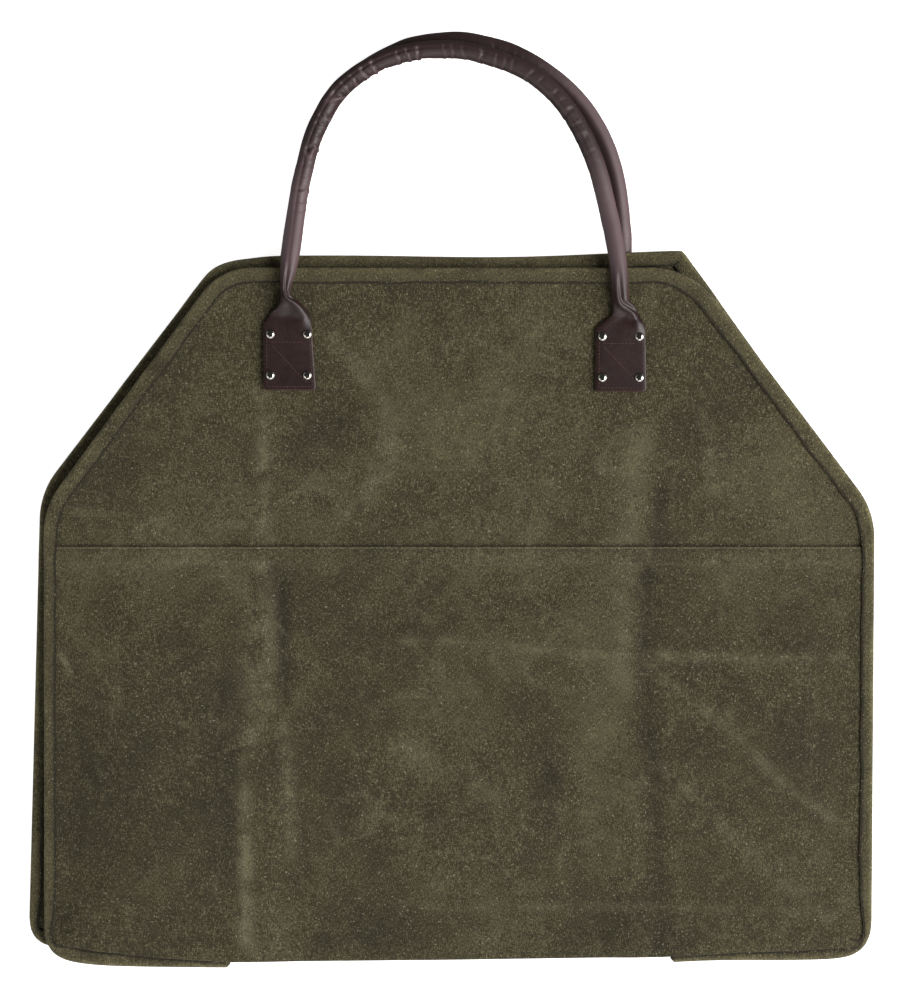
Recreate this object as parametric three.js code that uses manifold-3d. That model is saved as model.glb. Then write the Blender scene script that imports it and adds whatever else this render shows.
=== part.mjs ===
// Log carrier of waxed canvas with two rolled leather handles, lying folded flat on its back.
// Millimetres, +Z up. +Y points to the handles, and the origin is on the ground under the middle of the whole.
// Flat, the ends fold inward as a V between front and back, and the base folds up inside.
import * as THREE from 'three';
import { mergeVertices } from 'three/addons/utils/BufferGeometryUtils.js';
import Module from 'manifold-3d';

const wasm = await Module();
wasm.setup();

// Walls and clearances
const CLOTH = 1;
const FOLD_WALL = 0.8;
const TAPE_WALL = 1;
const TAPE_WIDTH = 10;
const GAP = 0.35;
const SLIVER = 0.03;
const TAPE_SLACK = 0.8;
const LAYER = CLOTH + GAP;
const EDGE_INSET = TAPE_WALL + GAP;
const LAP = 9;
const LAP_EASE = 6;

// Outlines of the two bound panels, at the outer edge of the tape: foot, shoulder and top corner of each side
const FRONT_OUTLINE = {
  left: { foot: [-269, -280], shoulder: [-269.3, -5.4, 53], top: [-151.8, 153, 53] },
  right: { foot: [277.5, -280], shoulder: [279.5, -7.4, 53], top: [157.4, 153, 53] },
};
const BACK_OUTLINE = {
  left: { foot: [-279.4, -276], shoulder: [-271.4, 5.1, 53], top: [-153.5, 160.2, 45] },
  right: { foot: [270.5, -276], shoulder: [274.9, -5.4, 53], top: [155.5, 164.8, 40] },
};
const SEAM_Y = -31;
const ROUND_STEPS = 3;

// Heights of the rows where the cloth bends: the straight sides, the lap of the cross seam and the slopes
const SIDE_ROWS = [-240, -190, -120];
const LAP_ROWS = [SEAM_Y - LAP - LAP_EASE, SEAM_Y - LAP, SEAM_Y + 1, SEAM_Y + 1 + LAP_EASE];
const FRONT_SLOPE_ROWS = [25, 45, 60, 69, 94, 120];
const BACK_SLOPE_ROWS = [35, 48, 60, 70, 79, 124, 134];

// The bottom edge across the width: the front's fold, the taped lip below it and the back's fold
const FOOT_LINE = [
  { x: -279, fold: -288, lip: -290, backFold: -284 },
  { x: -263, fold: -293.2, lip: -301, backFold: -294 },
  { x: -235, fold: -297.8, lip: -307.6, backFold: -296 },
  { x: -192, fold: -302.4, lip: -308.8, backFold: -297 },
  { x: -146, fold: -305.2, lip: -309.3, backFold: -297 },
  { x: 0, fold: -303.8, lip: -307, backFold: -296 },
  { x: 138, fold: -301.8, lip: -305.4, backFold: -295 },
  { x: 190, fold: -298.8, lip: -304.4, backFold: -294 },
  { x: 230, fold: -297.5, lip: -304.4, backFold: -293 },
  { x: 268, fold: -295.5, lip: -300, backFold: -291 },
  { x: 280, fold: -290, lip: -292, backFold: -284 },
];

// Folded ends and base
const LEFT_FOLD_X = -133;
const RIGHT_FOLD_X = 129;
const LEFT_SIDE_X = -269;
const RIGHT_SIDE_X = 277.5;
const BASE_REACH = 128;
const CORNER_SETBACK = 13;
const BASE_TAIL = 8;
const WRAP_SHARES = [0, 0.13, 0.26, 0.4, 0.56, 0.73, 0.9, 1];
const WING_EASE = { near: 8, far: 34 };
const FOLD_MARGIN = { base: 6, corner: 4 };
const GUSSET_TOP_Y = 60;
const LEFT_LIP = { outerX: -243, endX: -147 };
const RIGHT_LIP = { outerX: 243, endX: 144 };

// The layers that lie on each other in a bottom corner, from the ground up
const STACK = ['back', 'baseBack', 'lipBelow', 'cornerBack', 'gussetBack',
  'gussetFront', 'cornerFront', 'lipAbove', 'baseFront', 'front'];
const LEVEL = Object.fromEntries(STACK.map((name, place) => [name, place * LAYER]));

// Heights of the front panel's underside: its bed, the band at the mouth, soft swells and pressed-in folds
const FRONT_BED = 10;
const BASE_BED = 6.8;
const MOUTH_SLIT = 4.6;
const FRONT_SWELLS = [
  { x: -205, y: -150, across: 55, along: 105, height: 3.5 },
  { x: 205, y: -165, across: 55, along: 90, height: 4 },
  { x: 10, y: -200, across: 95, along: 70, height: 3 },
  { x: 0, y: 20, across: 80, along: 60, height: 2.5 },
  { x: 205, y: 20, across: 45, along: 45, height: 3 },
  { x: -190, y: 15, across: 45, along: 45, height: 2 },
];
const FRONT_RIDGES = [
  { name: 'packing fold', from: [-34, -96], to: [261, -106], width: 9, height: 1.6 },
  { name: 'right hip fold', from: [130, -106], to: [268, -224], width: 9, height: 1.8 },
  { name: 'left end fold', from: [-127, 70], to: [-130, -290], width: 8, height: 1.5 },
  { name: 'right end fold', from: [120, 70], to: [120, -290], width: 8, height: 1.3 },
];

// Where the cloth's columns stand: so far in from either edge, and at shares of the width between
const EDGE_COLUMNS = [0, 14, 25];
const FRONT_SHARES = [0.1, 0.17, 0.24, 0.3, 0.4, 0.5, 0.6, 0.7, 0.76, 0.83, 0.9];
const BACK_SHARES = [0.25, 0.5, 0.75];

// Handles: a tab at each end, a neck and an arch
const TAB_WIDTH = 34;
const TAB_LENGTH = 46;
const TAB_WALL = 3;
const NECK_LENGTH = 20.5;
const NECK_WALL = 7;
const ROLL = 12;
const SECTION_SIDES = 10;
const ARCH_STEPS = 26;
const TAB_SQUARENESS = 0.3;
const ROLL_EASE = { start: 16, run: 22 };
const SHOULDERS = [
  { rise: 0, width: TAB_WIDTH, wall: TAB_WALL },
  { rise: TAB_LENGTH, width: TAB_WIDTH, wall: TAB_WALL },
  { rise: TAB_LENGTH + 7, width: 27, wall: 4.2 },
  { rise: TAB_LENGTH + 14, width: 17, wall: 5.8 },
];
const FRONT_TABS = [{ x: -107, y: 73 }, { x: 111.5, y: 71.5 }];
const BACK_TABS = [{ x: -109, y: 82 }, { x: 112.5, y: 83 }];
const FRONT_ARCH = [
  [-110.6, 141], [-105.3, 164.8], [-100.7, 203], [-94.1, 240.7], [-86.1, 260], [-70.3, 281], [-32.7, 293.9],
  [-9.6, 296.8], [14.9, 294.9], [43.2, 285.6], [62.4, 273.1], [79.5, 253.3], [94.7, 222.3], [104.6, 184],
  [109.6, 156], [111.2, 138],
];
const BACK_ARCH = [
  [-112, 149], [-108.5, 168], [-103.3, 198], [-97.4, 237.4], [-88.1, 259], [-70.3, 280], [-31, 297.4],
  [3.6, 303.7], [19.5, 301.6], [40.9, 295.2], [59, 285.2], [76.6, 271.4], [91, 254.5], [102.3, 233.2],
  [109.2, 209.2], [112.4, 183.4], [113.3, 168], [113, 150],
];

// Rivets: four to a tab, through leather and canvas, capped outside and burred inside
const RIVET_HALF_ACROSS = 12.2;
const RIVET_HALF_ALONG = 13.5;
const RIVET_ROW_Y = 22.5;
const RIVET_CAP = 3;
const RIVET_DOME = 1.4;
const RIVET_BURR = 0.8;
const RIVET_SHANK = 1.5;
const RIVET_SIDES = 8;
const HOLE_LENGTH = 80;
const TAB_LIFT = TAB_WALL + RIVET_DOME + 2 * GAP;
const NECK_LIFT = NECK_WALL + GAP + EDGE_INSET + TAPE_SLACK;
const MOUTH_BED = NECK_LIFT + CLOTH + EDGE_INSET + TAPE_SLACK + MOUTH_SLIT + EDGE_INSET;
const FRONT_TAB_Z = MOUTH_BED + LAYER + TAB_WALL / 2;
const FRONT_NECK_Z = MOUTH_BED + LAYER + EDGE_INSET + NECK_WALL / 2;
const FRONT_HEIGHTS = { tab: FRONT_TAB_Z, neck: FRONT_NECK_Z, arch: 1.5 * ROLL + 0.6 };
const BACK_HEIGHTS = { tab: RIVET_DOME + GAP + TAB_WALL / 2, neck: NECK_WALL / 2, arch: ROLL / 2 };

const Z_AXIS = new THREE.Vector3(0, 0, 1);

function ease(from, to, value) {
  return THREE.MathUtils.smoothstep((value - from) / (to - from), 0, 1);
}

// Height of a column of the foot line at x, straight between its rows
function footLine(column, x) {
  const last = FOOT_LINE.length - 1;
  const after = FOOT_LINE.findIndex((row) => row.x >= x);
  const high = after < 0 ? last : Math.max(after, 1);
  const [a, b] = [FOOT_LINE[high - 1], FOOT_LINE[high]];
  const share = THREE.MathUtils.clamp((x - a.x) / (b.x - a.x), 0, 1);
  return THREE.MathUtils.lerp(a[column], b[column], share);
}

// Points of the arc that rounds a corner between two straight edges
function roundCorner(before, corner, after, steps) {
  const at = new THREE.Vector2(corner[0], corner[1]);
  const inward = at.clone().sub(new THREE.Vector2(...before.slice(0, 2))).normalize();
  const outward = new THREE.Vector2(...after.slice(0, 2)).sub(at).normalize();
  const turn = Math.atan2(inward.cross(outward), inward.dot(outward));
  const start = at.clone().addScaledVector(inward, -corner[2] * Math.tan(Math.abs(turn) / 2));
  const side = new THREE.Vector2(-inward.y, inward.x).multiplyScalar(corner[2] * Math.sign(turn));
  const centre = start.clone().add(side);
  return Array.from({ length: steps + 1 }, (_, k) => start.clone().rotateAround(centre, (turn * k) / steps));
}

// Where a straight side stands at height y
function sideX(side, y) {
  const share = (y - side.foot[1]) / (side.shoulder[1] - side.foot[1]);
  return THREE.MathUtils.lerp(side.foot[0], side.shoulder[0], share);
}

// One side of an outline, with a point at each low row, at each slope row and along its two round corners
function sidePath(side, otherTop, lowRows, slopeRows) {
  const low = lowRows.map((y) => new THREE.Vector2(sideX(side, y), y));
  const shoulder = roundCorner(side.foot, side.shoulder, side.top, ROUND_STEPS);
  const top = roundCorner(side.shoulder, side.top, otherTop, ROUND_STEPS);
  const [start, end] = [shoulder.at(-1), top[0]];
  const slope = slopeRows.map((y) => start.clone().lerp(end, (y - start.y) / (end.y - start.y)));
  return [...low, ...shoulder, ...slope, ...top];
}

// The bound edge from the left side over the mouth to the right side, with the inward direction at each point
function boundEdge(outline, lowRows, slopeRows) {
  const left = sidePath(outline.left, outline.right.top, lowRows, slopeRows);
  const right = sidePath(outline.right, outline.left.top, lowRows, slopeRows);
  const points = [...left, ...right.reverse()];
  return points.map((point, k) => {
    const ahead = points[Math.min(k + 1, points.length - 1)];
    const behind = points[Math.max(k - 1, 0)];
    const along = ahead.clone().sub(behind).normalize();
    return { point, inward: new THREE.Vector2(along.y, -along.x) };
  });
}

function distanceToEdge(edge, x, y) {
  const place = new THREE.Vector3(x, y, 0);
  const line = new THREE.Line3();
  const nearest = new THREE.Vector3();
  let best = Infinity;
  for (let k = 0; k + 1 < edge.length; k += 1) {
    line.start.set(edge[k].point.x, edge[k].point.y, 0);
    line.end.set(edge[k + 1].point.x, edge[k + 1].point.y, 0);
    line.closestPointToPoint(place, true, nearest);
    best = Math.min(best, nearest.distanceTo(place));
  }
  return best;
}

const TAPE_ROWS = [...SIDE_ROWS, ...LAP_ROWS];
const FRONT_EDGE = boundEdge(FRONT_OUTLINE, [FRONT_OUTLINE.left.foot[1], ...TAPE_ROWS], FRONT_SLOPE_ROWS);
const BACK_EDGE = boundEdge(BACK_OUTLINE, [BACK_OUTLINE.left.foot[1], ...TAPE_ROWS], BACK_SLOPE_ROWS);
const BELOW_FOOT_Y = -320;
const FRONT_SIDES = boundEdge(FRONT_OUTLINE, [BELOW_FOOT_Y], FRONT_SLOPE_ROWS);
const BACK_SIDES = boundEdge(BACK_OUTLINE, [BELOW_FOOT_Y], BACK_SLOPE_ROWS);

// Shares of a row's length at which its columns stand
function columnShares(length, shares) {
  const near = EDGE_COLUMNS.map((inset) => inset / length);
  return [...near, ...shares, ...near.map((share) => 1 - share).reverse()];
}

// 1 in the folded ends, 0 in the middle of the width
function wing(x) {
  const { near, far } = WING_EASE;
  const left = 1 - ease(LEFT_FOLD_X + near, LEFT_FOLD_X + far, x);
  const right = ease(RIGHT_FOLD_X - far, RIGHT_FOLD_X - near, x);
  return Math.max(left, right);
}

function toSide(x) {
  return Math.min(x - LEFT_SIDE_X, RIGHT_SIDE_X - x);
}

// 0 under the side tape, 1 where the folded corners lie
function besideTape(x) {
  return ease(CORNER_SETBACK + 1, EDGE_COLUMNS[2], toSide(x));
}

// How far the folded base stands up above the bottom edge: less towards the sides, along the 45 degree folds
function baseReach(x) {
  return THREE.MathUtils.clamp(toSide(x) - CORNER_SETBACK, 3, BASE_REACH);
}

function apexY(x) {
  return footLine('fold', x) + baseReach(x);
}

function baseFrontZ(x) {
  const atSide = FRONT_BED - LAYER - GAP;
  return THREE.MathUtils.lerp(BASE_BED, THREE.MathUtils.lerp(atSide, LEVEL.baseFront, besideTape(x)), wing(x));
}

// Underside of the back panel: on the ground, over its tape at the edge, over the back handle's tabs and necks
function backZ(x, y) {
  const tape = EDGE_INSET * (1 - ease(TAPE_WIDTH + 2, TAPE_WIDTH + 14, distanceToEdge(BACK_SIDES, x, y)));
  const tabY = BACK_TABS[0].y;
  const shoulderY = tabY + TAB_LENGTH;
  const onTab = TAB_LIFT * ease(tabY - 24, tabY - 3, y);
  const onNeck = (NECK_LIFT - TAB_LIFT) * ease(shoulderY - 4, shoulderY + 10, y);
  return Math.max(onTab + onNeck, tape);
}

// Underside of the folded base behind, clear of the back panel where that lifts over its tape
function baseBackZ(x) {
  return Math.max(LEVEL.baseBack, backZ(x, footLine('backFold', x)) + LAYER);
}

function swellAt(x, y) {
  return FRONT_SWELLS.reduce((sum, swell) => {
    const far = ((x - swell.x) / swell.across) ** 2 + ((y - swell.y) / swell.along) ** 2;
    return sum + swell.height * Math.exp(-far);
  }, 0);
}

function ridgeAt(x, y) {
  const place = new THREE.Vector3(x, y, 0);
  const nearest = new THREE.Vector3();
  return FRONT_RIDGES.reduce((sum, ridge) => {
    const line = new THREE.Line3(new THREE.Vector3(...ridge.from, 0), new THREE.Vector3(...ridge.to, 0));
    const far = line.closestPointToPoint(place, true, nearest).distanceTo(place) / ridge.width;
    return sum + ridge.height * Math.exp(-far * far);
  }, 0);
}

// 1 over the front handle's tabs, easing to 0 round them
function onTabs(x, y) {
  return Math.max(...FRONT_TABS.map((tab) => {
    const beside = 1 - ease(TAB_WIDTH / 2 + 17, TAB_WIDTH / 2 + 43, Math.abs(x - tab.x));
    return beside * ease(tab.y - 26, tab.y - 4, y);
  }));
}

// Underside of the front panel: a bed that rises to the mouth, thicker bottom corners, swells and ridges
function frontZ(x, y) {
  const corner = wing(x) * besideTape(x) * (1 - ease(apexY(x) + 8, apexY(x) + 45, y));
  const bed = THREE.MathUtils.lerp(FRONT_BED, MOUTH_BED, ease(SEAM_Y, FRONT_SLOPE_ROWS[3], y));
  const soft = ease(TAPE_WIDTH + 4, 48, distanceToEdge(FRONT_SIDES, x, y)) * (1 - onTabs(x, y));
  return bed + (LEVEL.front + GAP - FRONT_BED) * corner + soft * (swellAt(x, y) + ridgeAt(x, y));
}

// 1 where the lower panel laps the upper one at a cross seam
function lapAt(y) {
  return ease(LAP_ROWS[0], LAP_ROWS[1], y) * (1 - ease(LAP_ROWS[2], LAP_ROWS[3], y));
}

// 1 where a gusset's edge is bound in with the panel's edge
function gussetBound(y) {
  return 1 - ease(GUSSET_TOP_Y, GUSSET_TOP_Y + 25, y);
}

// Mitred normals of a polyline in its own plane, so that a wall along it keeps one thickness
function mitredNormals(points) {
  const normals = points.slice(1).map((point, k) => {
    const along = point.clone().sub(points[k]).normalize();
    return new THREE.Vector2(-along.y, along.x);
  });
  return points.map((_, k) => {
    const a = normals[Math.max(k - 1, 0)];
    const b = normals[Math.min(k, normals.length - 1)];
    const middle = a.clone().add(b).normalize();
    return middle.divideScalar(Math.max(middle.dot(b), 0.5));
  });
}

// Turns a mesh so that its faces point out
function facingOut(positions, index) {
  const geometry = new THREE.BufferGeometry();
  geometry.setAttribute('position', new THREE.Float32BufferAttribute(positions, 3));
  const corner = (k) => new THREE.Vector3().fromArray(positions, 3 * k);
  let volume = 0;
  for (let k = 0; k < index.length; k += 3) {
    volume += corner(index[k]).dot(corner(index[k + 1]).cross(corner(index[k + 2])));
  }
  geometry.setIndex(volume > 0 ? index : index.reverse());
  return geometry;
}

// A wall with its middle surface through a grid of points, each with the direction of the wall's thickness
function sheetSolid(grid, wall) {
  const columns = grid[0].length;
  const half = grid.length * columns;
  const positions = [wall / 2, -wall / 2].flatMap((offset) => grid.flat().flatMap(
    ({ point, normal }) => point.clone().addScaledVector(normal, offset).toArray(),
  ));
  const index = [];
  const quad = (a, b, c, d) => index.push(a, b, c, a, c, d);
  const at = (i, j) => i * columns + j;
  const [endI, endJ] = [grid.length - 1, columns - 1];
  for (let i = 0; i < endI; i += 1) {
    for (let j = 0; j < endJ; j += 1) {
      quad(at(i, j), at(i + 1, j), at(i + 1, j + 1), at(i, j + 1));
      quad(half + at(i, j), half + at(i, j + 1), half + at(i + 1, j + 1), half + at(i + 1, j));
    }
  }
  const rim = [];
  for (let j = 0; j < endJ; j += 1) rim.push(at(0, j));
  for (let i = 0; i < endI; i += 1) rim.push(at(i, endJ));
  for (let j = endJ; j > 0; j -= 1) rim.push(at(endI, j));
  for (let i = endI; i > 0; i -= 1) rim.push(at(i, 0));
  rim.forEach((a, k) => {
    const b = rim[(k + 1) % rim.length];
    quad(a, b, half + b, half + a);
  });
  return facingOut(positions, index);
}

// A solid skinned over rings of equal count, closed by a fan at both ends
function ringSolid(rings) {
  const sides = rings[0].length;
  const positions = rings.flat().flatMap((point) => point.toArray());
  const index = [];
  for (let i = 0; i + 1 < rings.length; i += 1) {
    for (let j = 0; j < sides; j += 1) {
      const [a, b] = [i * sides + j, i * sides + ((j + 1) % sides)];
      index.push(a, b, b + sides, a, b + sides, a + sides);
    }
  }
  const last = (rings.length - 1) * sides;
  for (let j = 1; j + 1 < sides; j += 1) {
    index.push(0, j + 1, j, last, last + j, last + j + 1);
  }
  return facingOut(positions, index);
}

function toManifold(geometry) {
  const bare = geometry.clone();
  bare.deleteAttribute('normal');
  bare.deleteAttribute('uv');
  const merged = mergeVertices(bare, 1e-4);
  return new wasm.Manifold(new wasm.Mesh({
    numProp: 3,
    vertProperties: new Float32Array(merged.attributes.position.array),
    triVerts: new Uint32Array(merged.index.array),
  }));
}

// The mesh of a joined or cut solid, with edges shorter than a sliver merged
function fromManifold(solid) {
  const mesh = solid.simplify(SLIVER).getMesh();
  const geometry = new THREE.BufferGeometry();
  geometry.setAttribute('position', new THREE.BufferAttribute(new Float32Array(mesh.vertProperties), 3));
  geometry.setIndex(Array.from(mesh.triVerts));
  return geometry;
}

function joined(geometries) {
  return fromManifold(geometries.map(toManifold).reduce((whole, next) => whole.add(next)));
}

function rivetPlaces(tabs) {
  return tabs.flatMap((tab) => [-1, 1].flatMap((across) => [-1, 1].map((along) => ({
    x: tab.x + across * RIVET_HALF_ACROSS,
    y: tab.y + RIVET_ROW_Y + along * RIVET_HALF_ALONG,
  }))));
}

// Cuts the rivets' holes through a panel or a handle
function punched(geometry, tabs) {
  const holes = rivetPlaces(tabs).map(({ x, y }) => {
    const hole = new THREE.CylinderGeometry(RIVET_SHANK + GAP, RIVET_SHANK + GAP, HOLE_LENGTH, RIVET_SIDES);
    hole.rotateX(Math.PI / 2);
    hole.translate(x, y, 0);
    return toManifold(hole);
  });
  return fromManifold(holes.reduce((solid, hole) => solid.subtract(hole), toManifold(geometry)));
}

// An upper panel: rows run from side to side between matching points of the two sloping edges
function upperPanel(outline, slopeRows, shares, heightAt) {
  const edge = boundEdge(outline, LAP_ROWS.slice(1), slopeRows).map(({ point, inward }) => (
    point.clone().addScaledVector(inward, EDGE_INSET)
  ));
  const rows = edge.length / 2;
  const grid = Array.from({ length: rows }, (_, k) => {
    const [left, right] = [edge[k], edge[edge.length - 1 - k]];
    return columnShares(left.distanceTo(right), shares).map((share) => {
      const place = left.clone().lerp(right, share);
      const z = heightAt(place.x, place.y) + CLOTH / 2;
      return { point: new THREE.Vector3(place.x, place.y, z), normal: Z_AXIS };
    });
  });
  return sheetSolid(grid, CLOTH);
}

// A half-round fold between two heights; toward is the side it bulges to
function foldPoints(y, fromZ, toZ, toward) {
  const radius = Math.abs(fromZ - toZ) / 2;
  return [1, 2, 3].map((step) => {
    const angle = (step * Math.PI) / 4;
    const z = THREE.MathUtils.lerp(fromZ, toZ, (1 - Math.cos(angle)) / 2);
    return new THREE.Vector2(y + toward * radius * Math.sin(angle), z);
  });
}

// A ribbon of cloth across stations of x, from a section in the y-z plane at each
function ribbon(stations, sectionAt, xAt, wall = CLOTH) {
  const grid = stations.map((station) => {
    const section = sectionAt(station);
    const normals = mitredNormals(section);
    return section.map((place, k) => ({
      point: new THREE.Vector3(xAt(station, place.x), place.x, place.y),
      normal: new THREE.Vector3(0, normals[k].x, normals[k].y),
    }));
  });
  return sheetSolid(grid, wall);
}

// Section of one face of the wrap: down from the seam, round the bottom fold and up into the folded base
function wrapSection(xAt, face) {
  const x = xAt(FRONT_OUTLINE.left.foot[1]);
  const foldY = footLine(face.foldColumn, x);
  const outer = (y) => face.heightAt(xAt(y), y) + CLOTH / 2;
  const inner = face.baseAt(x) + CLOTH / 2;
  const turnY = foldY + CLOTH / 2 + Math.abs(outer(foldY) - inner) / 2;
  const belowLap = WRAP_SHARES.map((share) => THREE.MathUtils.lerp(LAP_ROWS[0], turnY, share));
  const down = [SEAM_Y, LAP_ROWS[1], ...belowLap].map((y) => (
    new THREE.Vector2(y, outer(y) + face.lapRise * lapAt(y))
  ));
  const endY = Math.max(apexY(x), turnY + 2);
  const up = [0, 0.5, 1].map((share) => new THREE.Vector2(THREE.MathUtils.lerp(turnY, endY, share), inner));
  return [...down, ...foldPoints(turnY, outer(turnY), inner, -1), ...up];
}

// A fold over the top of the base, from one height to another, with tails down to the given heights
function overFold(x, fromZ, toZ, fromY, toY) {
  const top = apexY(x);
  const [a, b] = [fromZ + CLOTH / 2, toZ + CLOTH / 2];
  return [
    new THREE.Vector2(fromY, a),
    new THREE.Vector2(top, a),
    ...foldPoints(top, a, b, 1),
    new THREE.Vector2(top, b),
    new THREE.Vector2(toY, b),
  ];
}

function spread(from, to, count) {
  return Array.from({ length: count }, (_, k) => THREE.MathUtils.lerp(from, to, k / (count - 1)));
}

// Front lower panel, base and back lower panel in one length, with the corners of the base folded back
function lowerWrap() {
  const faces = [
    { outline: FRONT_OUTLINE, foldColumn: 'fold', heightAt: frontZ, lapRise: LAYER, baseAt: baseFrontZ,
      shares: FRONT_SHARES },
    { outline: BACK_OUTLINE, foldColumn: 'backFold', heightAt: backZ, lapRise: 0, baseAt: baseBackZ,
      shares: BACK_SHARES },
  ];
  const sheets = faces.map((face) => {
    const { left, right } = face.outline;
    const xAt = (share, y) => (
      THREE.MathUtils.lerp(sideX(left, y) + EDGE_INSET, sideX(right, y) - EDGE_INSET, share)
    );
    const width = right.foot[0] - left.foot[0];
    return ribbon(columnShares(width, face.shares), (share) => (
      wrapSection((y) => xAt(share, y), face)
    ), xAt);
  });
  const same = (x) => x;
  const middle = spread(LEFT_FOLD_X + FOLD_MARGIN.base, RIGHT_FOLD_X - FOLD_MARGIN.base, 8);
  sheets.push(ribbon(middle, (x) => (
    overFold(x, baseFrontZ(x), LEVEL.baseBack, apexY(x) - BASE_TAIL, apexY(x) - BASE_TAIL)
  ), same, FOLD_WALL));
  const corners = [
    [LEFT_LIP.outerX, LEFT_FOLD_X - FOLD_MARGIN.corner],
    [RIGHT_LIP.outerX, RIGHT_FOLD_X + FOLD_MARGIN.corner],
  ];
  for (const [outerX, innerX] of corners) {
    for (const half of ['Front', 'Back']) {
      sheets.push(ribbon(spread(outerX, innerX, 6), (x) => overFold(
        x, LEVEL[`base${half}`], LEVEL[`corner${half}`], apexY(x) - BASE_TAIL, footLine('lip', x) + EDGE_INSET,
      ), same, FOLD_WALL));
    }
  }
  return joined(sheets);
}

// An end folded inward: from the front's bound edge in to the fold and out again to the back's bound edge
function endGusset(foldX) {
  const out = Math.sign(foldX);
  const edgeX = (edge, y) => {
    const side = edge.map(({ point }) => point).filter((point) => Math.sign(point.x) === out);
    const ordered = side.sort((a, b) => a.y - b.y);
    const above = Math.max(ordered.findIndex((point) => point.y >= y), 1);
    const [a, b] = [ordered[above - 1], ordered[above]];
    return THREE.MathUtils.lerp(a.x, b.x, (y - a.y) / (b.y - a.y)) - out * 2 * EDGE_INSET;
  };
  const cornerXAt = (corner, far) => out * Math.min(out * corner, out * far - 2);
  const heights = FRONT_EDGE.map(({ point }) => point).filter((point) => Math.sign(point.x) === out);
  const rows = heights.map((point) => point.y).filter((y) => y <= GUSSET_TOP_Y).sort((a, b) => a - b);
  const grid = rows.map((level, row) => {
    const [frontX, backX] = [edgeX(FRONT_EDGE, level), edgeX(BACK_EDGE, level)];
    const frontEdge = frontZ(frontX, level) - LAYER;
    const backEdge = backZ(backX, level) + LAYER * (1 + lapAt(level));
    const bend = foldX + out * LAYER;
    const half = CLOTH / 2;
    const inside = (edge) => [1, 11].map((depth) => edge - out * (TAPE_WIDTH + depth));
    const [frontNear, frontFar] = inside(frontX);
    const [backNear, backFar] = inside(backX);
    const cornerX = out < 0 ? LEFT_LIP.outerX : RIGHT_LIP.outerX;
    const section = [
      new THREE.Vector2(frontX, frontEdge + half),
      new THREE.Vector2(frontNear, frontEdge + half),
      new THREE.Vector2(frontFar, LEVEL.gussetFront + half),
      new THREE.Vector2(cornerXAt(cornerX, frontFar), LEVEL.gussetFront + half),
      new THREE.Vector2(bend, LEVEL.gussetFront + half),
      ...foldPoints(bend, LEVEL.gussetFront + half, LEVEL.gussetBack + half, -out),
      new THREE.Vector2(bend, LEVEL.gussetBack + half),
      new THREE.Vector2(cornerXAt(cornerX, backFar), LEVEL.gussetBack + half),
      new THREE.Vector2(backFar, LEVEL.gussetBack + half),
      new THREE.Vector2(backNear, backEdge + half),
      new THREE.Vector2(backX, backEdge + half),
    ];
    const normals = mitredNormals(section);
    return section.map((place, k) => {
      const inLip = row === 0 && out * place.x <= out * cornerX;
      return {
        point: new THREE.Vector3(place.x, inLip ? footLine('lip', place.x) + EDGE_INSET : level, place.y),
        normal: new THREE.Vector3(normals[k].x, 0, normals[k].y),
      };
    });
  });
  return sheetSolid(grid, CLOTH);
}

// Tape folded round an edge: a U section carried along the edge, its flanges following the cloth
function foldedTape(stations, flangesAt) {
  const grid = stations.map(({ point, inward }) => {
    const depth = TAPE_WALL / 2;
    const place = (inset) => point.clone().addScaledVector(inward, inset);
    const flanges = [depth, TAPE_WIDTH].map((inset) => flangesAt(place(inset)));
    const section = [
      new THREE.Vector2(TAPE_WIDTH, flanges[1].top + TAPE_WALL / 2),
      new THREE.Vector2(depth, flanges[0].top + TAPE_WALL / 2),
      new THREE.Vector2(depth, flanges[0].bottom - TAPE_WALL / 2),
      new THREE.Vector2(TAPE_WIDTH, flanges[1].bottom - TAPE_WALL / 2),
    ];
    const normals = mitredNormals(section);
    return section.map((spot, k) => ({
      point: new THREE.Vector3(place(spot.x).x, place(spot.x).y, spot.y),
      normal: new THREE.Vector3(inward.x * normals[k].x, inward.y * normals[k].x, normals[k].y),
    }));
  });
  return sheetSolid(grid, TAPE_WALL);
}

function frontBinding() {
  return foldedTape(FRONT_EDGE, (place) => {
    const under = frontZ(place.x, place.y);
    return {
      top: under + CLOTH + GAP + LAYER * lapAt(place.y),
      bottom: under - GAP - LAYER * gussetBound(place.y),
    };
  });
}

function backBinding() {
  return foldedTape(BACK_EDGE, (place) => {
    const under = backZ(place.x, place.y);
    const slack = TAPE_SLACK * ease(BACK_SLOPE_ROWS[0], BACK_SLOPE_ROWS[2], place.y);
    return {
      top: under + CLOTH + GAP + slack + LAYER * (lapAt(place.y) + gussetBound(place.y)),
      bottom: under - GAP - Math.min(slack, Math.max(0, under - EDGE_INSET)),
    };
  });
}

// The tape on the seam of gusset and base, which shows as a lip under the front's bottom fold
function baseBinding({ outerX, endX }) {
  const stations = spread(outerX, endX, 12).map((x) => ({
    point: new THREE.Vector2(x, footLine('lip', x)),
    inward: new THREE.Vector2(0, 1),
  }));
  const flanges = { top: LEVEL.lipAbove, bottom: LEVEL.lipBelow + TAPE_WALL };
  return foldedTape(stations, () => flanges);
}

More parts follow.
